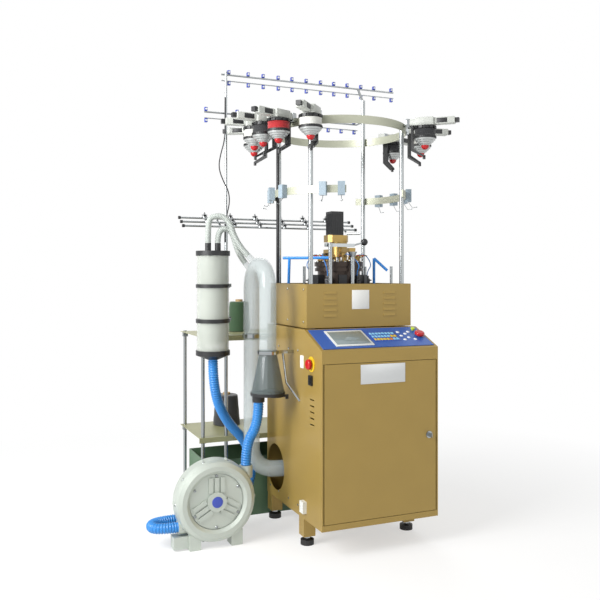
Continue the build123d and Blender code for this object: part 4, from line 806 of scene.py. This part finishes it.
class KNIT_OT_console(bpy.types.Operator):
    """Lay the console's film, display and keys"""

    bl_idname = "knit.console"
    bl_label = "Console"

    # Places on the slope: the display, the field of keys, its first key and the pitch of its keys.
    DISPLAY = (-101, 90)
    FIELD = (58, 96)
    FIRST_KEY = (8, 72)
    KEY_PITCH = (14.3, 24)
    # Raised pads on the film: half sizes, low face, high face and edge, in metres.
    FIELD_TOP = 0.0008
    BEZEL_PAD = ((0.083, 0.064), 0, 0.003, 0.0012)
    GLASS_PAD = ((0.074, 0.052), 0.003, 0.0036, 0.0002)
    FIELD_PAD = ((0.062, 0.040), 0, FIELD_TOP, 0.0003)
    KEY_PAD = ((0.0055, 0.008), 0, 0.0016, 0.0007)
    # Colour of each key, a row at a time from the lowest, and the finishes that the numbers stand for.
    KEYS = "11111200 00000011 00000000"
    KEY_COLOURS = (
        ("key_pale_blue", "#86c3e6"), ("key_yellow", "#d8b83a"), ("key_orange", "#d07a2c"),
        ("key_white", "#e2e5e6"),
    )
    # Round white keys, and their outline.
    DOMES = ((138, 64), (138, 96), (138, 128), (164, 80), (164, 112), (186, 64), (186, 128))
    DOME = ((0.0072, 0), (0.0072, 0.0012), (0.0055, 0.0024), (0.002, 0.0028))

    def execute(self, context):
        dress(panel_film(), "control_panel")
        self.lay_display()
        self.lay_keys()
        return {"FINISHED"}

    def lay_display(self):
        bm = bmesh.new()
        base = slope_matrix(*self.DISPLAY, PANEL_THICK)
        pad(bm, *self.BEZEL_PAD, base, 0)
        pad(bm, *self.GLASS_PAD, base, 1)
        new_piece("display", bm, [white_abs(), screen_glass()])

    def lay_keys(self):
        bm = bmesh.new()
        pad(bm, *self.FIELD_PAD, slope_matrix(*self.FIELD, PANEL_THICK), 0)
        for row, codes in enumerate(self.KEYS.split()):
            for column, code in enumerate(codes):
                x = self.FIRST_KEY[0] + self.KEY_PITCH[0] * column
                v = self.FIRST_KEY[1] + self.KEY_PITCH[1] * row
                key = slope_matrix(x, v, PANEL_THICK + self.FIELD_TOP / MM)
                pad(bm, *self.KEY_PAD, key, 1 + int(code))
        for x, v in self.DOMES:
            lathe(bm, self.DOME, slope_matrix(x, v, PANEL_THICK), len(self.KEY_COLOURS), 20)
        finishes = [key_finish("key_field", "#1c47a0")] + [key_finish(*pair) for pair in self.KEY_COLOURS]
        new_piece("key_field", bm, finishes)


class KNIT_OT_head(bpy.types.Operator):
    """Finish the knitting head and add its needles, screws and air tubes"""

    bl_idname = "knit.head"
    bl_label = "Knitting head"

    # Heights of the bed plate's top, the needles' feet and the cam ring's top.
    BED_TOP = 1024
    NEEDLE_FOOT = 1110
    CAM_TOP = 1129
    # Radii of the circles on which pieces stand, in metres.
    NEEDLE_CIRCLE = 0.0495
    BOLT_CIRCLE = 0.098
    VALVE_CIRCLE = 0.124
    LEVER_CIRCLE = 0.089
    # Counts round the head, and the first turn of the valves and the levers.
    BOLTS = 18
    VALVES = 6
    LEVERS = 30
    VALVE_TURN = 42
    LEVER_TURN = 6
    FINS_A_SIDE = 7
    # Bolts that hold the bed plate: their places across and deep.
    BED_BOLTS = ((-215, -120, 120, 215), (-185, 185))
    SCREW_RADIUS = 3.6
    SCREW_HEIGHT = 3.5
    # The cam ring's rim and foot, outside which the actuators begin.
    CAM_RIM = 108
    CAM_FOOT = 95
    CAM_FOOT_TOP = 1080
    # The lifting lever's ball, and the reach that takes in all of it.
    LEVER_BALL = (62, -118, 1212)
    BALL_REACH = 15
    # An air tube's route: turn in degrees, radius in metres and height.
    AIR_ROUTE = (
        (42, 0.124, 1068), (42, 0.124, 1088), (42, 0.146, 1118), (20, 0.110, 1172), (20, 0.088, 1154),
    )
    AIR_RADIUS = 0.002
    AIR_STEP = 0.006

    def execute(self, context):
        dress(ground_steel(), "bed_plate", "needle_cylinder", "motor_pinion")
        dress_by("cam_ring", [blued_steel(), black_abs()], self.on_actuator)
        dress(machined_brass(), "dial_bridge", "yarn_fingers")
        dress(black_abs(), "dial_motor")
        dress(chromed_tube(), "head_posts", "ring_posts")
        dress_by("lift_lever", [chromed_tube(), black_abs()], self.on_ball)
        dress(air_tube_blue(), "air_arms")
        self.needles()
        self.screws()
        self.valve_blocks()
        self.air_tubes()
        self.finger_levers()
        self.motor_fins()
        return {"FINISHED"}

    def on_ball(self, middle):
        return (middle - Vector(self.LEVER_BALL)).length < self.BALL_REACH

    def on_actuator(self, middle):
        out = middle.xy.length
        return out > self.CAM_RIM or (out > self.CAM_FOOT and middle.z < self.CAM_FOOT_TOP)

    def needles(self):
        """Hooked needles in the cylinder's tricks."""
        needle = bmesh.new()
        block(needle, (-0.0008, -0.0006, 0), (0.0008, 0.0006, 0.028), 0.0002)
        block(needle, (-0.0008, -0.0006, 0.0265), (0.0030, 0.0006, 0.028), 0.0002)
        places = circle(sizes().needle_count, self.NEEDLE_CIRCLE, self.NEEDLE_FOOT)
        repeat("needles", needle, places, chromed_tube(), "cylinder")

    def screws(self):
        places = circle(self.BOLTS, self.BOLT_CIRCLE, self.CAM_TOP)
        for x in self.BED_BOLTS[0]:
            places += [(at(x, y, self.BED_TOP), UP, ACROSS) for y in self.BED_BOLTS[1]]
        screw = screw_part(self.SCREW_RADIUS * MM, self.SCREW_HEIGHT * MM)
        repeat("head_screws", screw, places, chromed_tube())

    def valve_blocks(self):
        """Small valve blocks standing between the actuators."""
        part = bmesh.new()
        block(part, (-0.011, -0.009, 0), (0.011, 0.009, 0.034), 0.0015)
        block(part, (-0.007, -0.006, 0.034), (0.007, 0.006, 0.046), 0.001)
        rod(part, (0.008, 0, 0.026), (0.019, 0, 0.026), 0.003)
        places = circle(self.VALVES, self.VALVE_CIRCLE, self.BED_TOP, self.VALVE_TURN)
        repeat("valve_blocks", part, places, black_abs())

    def air_tubes(self):
        """Thin blue air tubes looped from the valve blocks up to the yarn fingers."""
        bm = bmesh.new()
        for k in range(self.VALVES):
            line = []
            for turn, radius, height in self.AIR_ROUTE:
                line.append(level_way(turn + 360 * k / self.VALVES) * radius + UP * height * MM)
            points, _ = evenly(route_points(line), self.AIR_STEP)
            tube_along(bm, points, lambda run: self.AIR_RADIUS, 0, 8)
        new_piece("air_tubes", bm, [air_tube_blue()])

    def finger_levers(self):
        """Bent brass levers with red pads that lift the yarn fingers, fanned over the cam ring."""
        lever, pads = bmesh.new(), bmesh.new()
        rod(lever, (0, 0, 0), (0.004, 0, 0.020), 0.0014)
        rod(lever, (0.004, 0, 0.019), (0.024, 0, 0.031), 0.0014)
        rod(lever, (0.023, 0, 0.031), (0.034, 0, 0.026), 0.0012)
        block(lever, (-0.004, -0.003, 0), (0.004, 0.003, 0.008), 0.001)
        block(pads, (0.013, -0.0035, 0.024), (0.021, 0.0035, 0.0295), 0.001)
        places = circle(self.LEVERS, self.LEVER_CIRCLE, self.CAM_TOP, self.LEVER_TURN)
        repeat("finger_levers", lever, places, machined_brass())
        repeat("lever_pads", pads, places[::2], red_gloss())

    def motor_fins(self):
        """Upright cooling ribs round the dial motor."""
        low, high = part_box("dial_motor")
        part = bmesh.new()
        block(part, (-0.0011, -0.0012, 0.006), (0.0011, 0.0012, high.z - low.z - 0.010), 0.0003)
        places = []
        for k in range(self.FINS_A_SIDE):
            middle = low.lerp(high, (k + 0.5) / self.FINS_A_SIDE)
            for side in (low.y, high.y):
                places.append((Vector((middle.x, side, low.z)), UP, ACROSS))
            for side in (low.x, high.x):
                places.append((Vector((side, middle.y, low.z)), UP, INWARD))
        repeat("motor_fins", part, places, black_abs())


class KNIT_OT_feeders(bpy.types.Operator):
    """Build the yarn feeders' covers and wound drums"""

    bl_idname = "knit.feeders"
    bl_label = "Yarn feeders"

    YARNS = {
        "white": ("yarn_white", "#d8d8d2"), "red": ("yarn_red", "#a5161c"),
        "black": ("yarn_black", "#232427"),
    }
    # Outlines turned about a feeder's own axis: radius and height in metres.
    WOUND_DRUM = (
        (0.030, 1.650), (0.0440, 1.650), (0.0440, 1.6525), (0.0425, 1.654), (0.0432, 1.664), (0.0425, 1.674),
        (0.0440, 1.6755), (0.0440, 1.678), (0.030, 1.678),
    )
    TOOTHED_BAND = (
        (0.030, 1.640), (0.0455, 1.640), (0.046, 1.6415), (0.046, 1.6485), (0.0455, 1.650), (0.030, 1.650),
    )
    STEPPED_BOWL = (
        (0.0180, 1.612), (0.0205, 1.613), (0.0220, 1.617), (0.0265, 1.618), (0.0285, 1.624), (0.0345, 1.625),
        (0.0370, 1.632), (0.0420, 1.633), (0.0440, 1.640), (0.020, 1.640),
    )
    # Teeth on the band: their count, circle and foot.
    TEETH = 36
    TOOTH_CIRCLE = 0.0458
    TOOTH_FOOT = 1.640
    # Blocks of a cover along its arm: low corner, high corner, edge and number of the finish.
    COVER_BLOCKS = (
        ((0.2877, -0.018, 1.696), (0.5, 0.018, 1.724), 0.004, 0),
        ((0.335, -0.030, 1.692), (0.415, 0.030, 1.727), 0.005, 0),
        ((0.425, -0.0185, 1.700), (0.470, 0.0185, 1.720), 0.001, 1),
        ((0.350, -0.018, 1.7265), (0.400, 0.018, 1.7275), 0.0004, 1),
        ((0.292, -0.019, 1.690), (0.314, 0.019, 1.7255), 0.002, 2),
    )
    # The spindle between drum and cover: low end, high end and radius.
    SPINDLE = (1.678, 1.6925, 0.006)
    # Sensor levers: their turns, their height, and how far they stand out from the bands' edge.
    SENSOR_TURNS = (150, 172, 194, 232, 246, -26, -10, 8, 26)
    SENSOR_HEIGHT = 1412
    SENSOR_STAND = 0.012
    SENSOR_EYE = ((0.003, 0), (0.005, 0.001), (0.005, 0.004), (0.003, 0.005))

    def execute(self, context):
        dress(red_gloss(), "feeder_tips")
        dress(black_abs(), "feeder_brackets")
        dress(rolled_strip(), "ring_bands")
        dress(grey_abs(), "yarn_sensors")
        for number in range(1, len(FEEDER_TURNS) + 1):
            dress(black_abs(), f"winder_{number}")
        self.drums()
        self.drum_teeth()
        self.covers()
        self.sensor_levers()
        return {"FINISHED"}

    def drums(self):
        """Wound drums over their toothed bands and stepped bowls."""
        bm = bmesh.new()
        finishes = [satin_aluminium(), black_abs()] + [wound_yarn(*pair) for pair in self.YARNS.values()]
        first_yarn = len(finishes) - len(self.YARNS)
        for turn, yarn in zip(FEEDER_TURNS, FEEDER_YARNS):
            base = feeder_matrix(turn) @ Matrix.Translation((FEEDER_AXIS, 0, 0))
            lathe(bm, self.WOUND_DRUM, base, first_yarn + list(self.YARNS).index(yarn))
            lathe(bm, self.TOOTHED_BAND, base, 1)
            lathe(bm, self.STEPPED_BOWL, base, 0)
        piece = new_piece("feeder_drums", bm, finishes, BODY)
        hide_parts("feeder_spools")

    def drum_teeth(self):
        tooth = bmesh.new()
        block(tooth, (-0.0005, -0.0016, 0.0012), (0.0012, 0.0016, 0.0088), 0.0004)
        places = []
        for turn in FEEDER_TURNS:
            base = feeder_matrix(turn) @ Matrix.Translation((FEEDER_AXIS, 0, self.TOOTH_FOOT))
            for k in range(self.TEETH):
                way = level_way(360 * k / self.TEETH)
                places.append((base @ (way * self.TOOTH_CIRCLE), UP, base.to_3x3() @ way))
        repeat("drum_teeth", tooth, places, black_abs())

    def covers(self):
        """Long box housings with dark inlays, a clamp on the ring and the drum's spindle."""
        bm = bmesh.new()
        low, high, radius = self.SPINDLE
        for turn in FEEDER_TURNS:
            base = feeder_matrix(turn)
            for corner, far_corner, edge, index in self.COVER_BLOCKS:
                block(bm, corner, far_corner, edge, base, index)
            rod(bm, base @ Vector((FEEDER_AXIS, 0, low)), base @ Vector((FEEDER_AXIS, 0, high)), radius, 2)
        finishes = [feeder_abs(), black_abs(), chromed_tube()]
        piece = new_piece("feeder_covers", bm, finishes, BODY)
        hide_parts("feeder_housings")

    def sensor_levers(self):
        """Wire levers with eyes on the yarn sensors."""
        low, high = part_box("ring_bands")
        reach = (high.x - low.x) / 2 + self.SENSOR_STAND
        part = bmesh.new()
        rod(part, (0.0, 0, -0.024), (0.018, 0, -0.050), 0.0012)
        rod(part, (0.018, 0, -0.050), (0.034, 0, -0.046), 0.0012)
        lathe(part, self.SENSOR_EYE, Matrix.Translation((0.034, 0, -0.049)), 0, 12)
        places = []
        for turn in self.SENSOR_TURNS:
            way = level_way(turn)
            places.append((at(0, 0, self.SENSOR_HEIGHT) + way * reach, UP, way))
        repeat("sensor_levers", part, places, chromed_tube())


class KNIT_OT_creel(bpy.types.Operator):
    """Finish the creel and its yarn packages"""

    bl_idname = "knit.creel"
    bl_label = "Creel"

    BIN_TOP = 262
    # Yarn packages: foot, lower radius, upper radius and the yarn's finish.
    PACKAGES = (
        ((-310.7, 436.2, 807), 52, 45, "yarn_dark_green", "#2c4a2c"),
        ((-364.8, 459.1, 369), 63, 52, "yarn_charcoal", "#26282c"),
    )
    # A package's foot and top (inset and height), its wound face, its bore, and the swell of its odd layers.
    PACKAGE_FOOT = (6, 4)
    PACKAGE_FACE = 133
    PACKAGE_TOP = (5, 141)
    PACKAGE_BORE = 20
    LAYERS = 6
    SWELL = 0.8
    # Outline of the card tube, in metres above the foot.
    CORE = ((0.017, 0.140), (0.017, 0.151), (0.014, 0.151), (0.013, 0.142))
    # Tension rods: their ends across, the first one's depth and height, and the steps to the next ones.
    ROD_ENDS = (-634, 194)
    ROD_FIRST = (231.7, 1285)
    ROD_STEP = (35, 20)
    RODS = 3
    PINS_A_ROD = 6
    # The band of heights that holds the rods, the height over a rod where its tensioners begin, and its caps.
    ROD_BAND = (1270, 1380)
    TENSIONER_FOOT = 4.8
    CAP_LEFT = 9.9
    CAP_RIGHT = 0.1
    DISC_FOOT = 10
    # A tensioner's lower disc, upper disc and nut: outlines in metres, and their steps round.
    DISCS = (
        (((0.003, 0.0005), (0.013, 0.0015), (0.0132, 0.0022), (0.009, 0.0030), (0.003, 0.0034)), 20),
        (((0.003, 0.0036), (0.009, 0.0040), (0.0132, 0.0048), (0.013, 0.0055), (0.003, 0.0065)), 20),
        (((0.004, 0.0066), (0.0045, 0.008), (0.0045, 0.011), (0.003, 0.012)), 12),
    )
    # Guide blocks on the two pairs of bars: places across, and the heights of the upper and lower row.
    GUIDES = (
        ((-426, -337, -266, -194, -126, -56, 17, 84, 154, 226, 296, 390), (1964, 1914.5)),
        ((-530, -388, 55, 122, 190), (1794, 1744.5)),
    )
    EYE = ((0.0015, 0), (0.004, 0), (0.0045, 0.001), (0.004, 0.003), (0.0015, 0.003))
    UPPER_EYE_SINK = 0.0015

    def execute(self, context):
        dress(chromed_tube(), "creel_posts")
        dress_by("creel_rods", [chromed_tube(), black_abs()], self.on_tensioner)
        dress_by("creel_shelves", [shelf_enamel(), bin_green()], lambda m: m.z < self.BIN_TOP)
        dress(blue_abs(), "yarn_guides")
        self.packages()
        self.eyes()
        self.discs()
        return {"FINISHED"}

    def packages(self):
        """Wound yarn on card tubes."""
        bm = bmesh.new()
        finishes = [wound_yarn(name, colour) for *_, name, colour in self.PACKAGES] + [card_core()]
        for index, (foot, low, high, *_) in enumerate(self.PACKAGES):
            inset, start = self.PACKAGE_FOOT
            outline = [(low - inset, 0), (low, start)]
            for k in range(1, self.LAYERS + 1):
                share = k / self.LAYERS
                swell = self.SWELL * (k % 2)
                outline.append((low + (high - low) * share + swell, start + self.PACKAGE_FACE * share))
            inset, top = self.PACKAGE_TOP
            outline += [(high - inset, top), (self.PACKAGE_BORE, top)]
            base = Matrix.Translation(at(*foot))
            lathe(bm, [(r * MM, h * MM) for r, h in outline], base, index)
            lathe(bm, self.CORE, base, len(self.PACKAGES), 24)
        piece = new_piece("yarn_packages", bm, finishes, BODY)
        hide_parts("yarn_cones")

    def on_tensioner(self, middle):
        """True where a tension rod carries a tensioner or an end cap."""
        if not self.ROD_BAND[0] < middle.z < self.ROD_BAND[1]:
            return False
        row = min(self.RODS - 1, max(0, round((middle.y - self.ROD_FIRST[0]) / self.ROD_STEP[0])))
        over = middle.z - self.ROD_FIRST[1] - self.ROD_STEP[1] * row
        capped = middle.x < self.ROD_ENDS[0] + self.CAP_LEFT or middle.x > self.ROD_ENDS[1] + self.CAP_RIGHT
        return over > self.TENSIONER_FOOT or capped

    def discs(self):
        """Pairs of pressed tension discs that pinch the yarn, one pair on every tensioner's pin."""
        part = bmesh.new()
        for outline, steps in self.DISCS:
            lathe(part, outline, steps=steps)
        left, right = self.ROD_ENDS
        places = []
        for row in range(self.RODS):
            y, z = (self.ROD_FIRST[i] + self.ROD_STEP[i] * row for i in (0, 1))
            for k in range(1, self.PINS_A_ROD + 1):
                x = left + (right - left) * k / (self.PINS_A_ROD + 1)
                places.append((at(x, y, z + self.DISC_FOOT), UP, ACROSS))
        repeat("tension_discs", part, places, ground_steel())

    def eyes(self):
        """White ceramic eyes in front of the guide blocks."""
        part = bmesh.new()
        lathe(part, self.EYE, steps=12)
        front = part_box("yarn_guides")[0].y
        places = []
        for xs, heights in self.GUIDES:
            for x in xs:
                for z, sink in zip(heights, (self.UPPER_EYE_SINK, 0)):
                    place = at(x, 0, z)
                    place.y = front + sink
                    places.append((place, -INWARD, ACROSS))
        repeat("guide_eyes", part, places, white_abs())


class KNIT_OT_canister(bpy.types.Operator):
    """Finish the filter canister, the sock tube and the collector"""

    bl_idname = "knit.canister"
    bl_label = "Canister and tubes"

    # The canister's axis, and the reach that takes in the sleeve but not the wall.
    CANISTER_AXIS = (-539, 89)
    SLEEVE_REACH = 50

    def execute(self, context):
        dress_by("canister_sections", [frosted_acrylic(), filter_cloth()], self.on_sleeve)
        dress(black_abs(), "canister_caps")
        dress(clear_acrylic(), "sock_tube")
        dress(smoked_acrylic(), "collector_cone")
        dress(black_abs(), "cone_base", "cone_flap")
        dress(chromed_tube(), "tube_brackets")
        return {"FINISHED"}

    def on_sleeve(self, middle):
        return (middle.xy - Vector(self.CANISTER_AXIS)).length < self.SLEEVE_REACH


class KNIT_OT_blower(bpy.types.Operator):
    """Finish the suction blower and its bolts"""

    bl_idname = "knit.blower"
    bl_label = "Blower"

    # The blower's axis across and up, and its circles of bolts: count, radius, depth and first turn.
    CENTRE = (-575, 183)
    BOLT_CIRCLES = ((10, 158, -70, 0), (6, 101, -85, 30))
    BOLT_RADIUS = 5.5
    BOLT_HEIGHT = 5
    # The disc on the hub: its depth and its outline in metres.
    HUB_DEPTH = -99
    HUB_DISC = ((0.010, -0.001), (0.022, -0.001), (0.022, 0.001), (0.0205, 0.0015), (0.010, 0.0015))

    def execute(self, context):
        dress(die_cast_aluminium(), "blower_housing", "blower_cover", "blower_impeller", "blower_motor")
        x, z = self.CENTRE
        bolts = []
        for count, radius, depth, start in self.BOLT_CIRCLES:
            for k in range(count):
                out = level_way(start + 360 * k / count) * radius
                bolts.append((at(x + out.x, depth, z + out.y), -INWARD, UP))
        bolt = screw_part(self.BOLT_RADIUS * MM, self.BOLT_HEIGHT * MM)
        repeat("blower_bolts", bolt, bolts, chromed_tube())
        bm = bmesh.new()
        base = Matrix.Translation(at(x, self.HUB_DEPTH, z)) @ Matrix.Rotation(math.pi / 2, 4, "X")
        lathe(bm, self.HUB_DISC, base)
        new_piece("hub_disc", bm, [blue_abs()])
        return {"FINISHED"}


class KNIT_OT_hoses(bpy.types.Operator):
    """Lay the ribbed hoses and the creel's cable"""

    bl_idname = "knit.hoses"
    bl_label = "Hoses"

    # A rib's depth as a share of the diameter, the points along it, and the points round a hose and a cable.
    RIB_SHARE = 0.075
    RIB_POINTS = 6
    HOSE_ROUND = 20
    CABLE_ROUND = 10

    def execute(self, context):
        blue = (BLUE_DIAMETER, sizes().hose_rib, blue_hose_vinyl())
        white = (WHITE_DIAMETER, sizes().white_rib, white_hose_vinyl())
        self.hose("canister_hose", "blue_hose_canister", CANISTER_HOSE, *blue)
        self.hose("collector_hose", "blue_hose_collector", COLLECTOR_HOSE, *blue)
        self.hose("upper_hose", "white_hose_upper", UPPER_HOSE, *white)
        self.hose("lower_hose", "white_hose_lower", LOWER_HOSE, *white)
        self.hose("cable", "creel_cable", CREEL_CABLE, CABLE_DIAMETER, 0, black_rubber())
        return {"FINISHED"}

    def hose(self, name, node, route, diameter, rib, material):
        """A hose along its route in place of its CAD node, plain where it has no rib."""
        points, length = evenly(route_points(route), rib / self.RIB_POINTS if rib else diameter)
        radius = diameter / 2
        depth = self.RIB_SHARE * diameter

        def radius_at(run):
            return radius - depth * (0.5 - 0.5 * math.cos(math.tau * run / rib)) if rib else radius

        bm = bmesh.new()
        tube_along(bm, points, radius_at, 0, self.HOSE_ROUND if rib else self.CABLE_ROUND)
        piece = new_piece(name, bm, [material], BODY, RIB_CRISP_ANGLE)
        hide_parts(node)


class KNIT_PT_panel(bpy.types.Panel):
    """Lists the pieces in the sidebar"""

    bl_label = "Sock Knitting Machine"
    bl_space_type = "VIEW_3D"
    bl_region_type = "UI"
    bl_category = "Knitting"

    def draw(self, context):
        for group in (context.scene.knitting_sizes, context.scene.knitting_colours):
            for name in group.__annotations__:
                self.layout.prop(group, name)
        for operator in OPERATORS:
            self.layout.operator(operator.bl_idname)


OPERATORS = (
    KNIT_OT_stage, KNIT_OT_cabinet, KNIT_OT_console, KNIT_OT_head, KNIT_OT_feeders,
    KNIT_OT_creel, KNIT_OT_canister, KNIT_OT_blower, KNIT_OT_hoses,
)
CLASSES = (KnittingSizes, KnittingColours, *OPERATORS, KNIT_PT_panel)


def register():
    for cls in CLASSES:
        bpy.utils.register_class(cls)
    bpy.types.Scene.knitting_sizes = bpy.props.PointerProperty(type=KnittingSizes)
    bpy.types.Scene.knitting_colours = bpy.props.PointerProperty(type=KnittingColours)


def unregister():
    del bpy.types.Scene.knitting_colours
    del bpy.types.Scene.knitting_sizes
    for cls in reversed(CLASSES):
        bpy.utils.unregister_class(cls)


def main():
    register()
    bpy.ops.knit.stage()
    bpy.ops.knit.hoses()
    bpy.ops.knit.cabinet()
    bpy.ops.knit.console()
    bpy.ops.knit.head()
    bpy.ops.knit.feeders()
    bpy.ops.knit.creel()
    bpy.ops.knit.canister()
    bpy.ops.knit.blower()


if __name__ == "__main__":
    main()
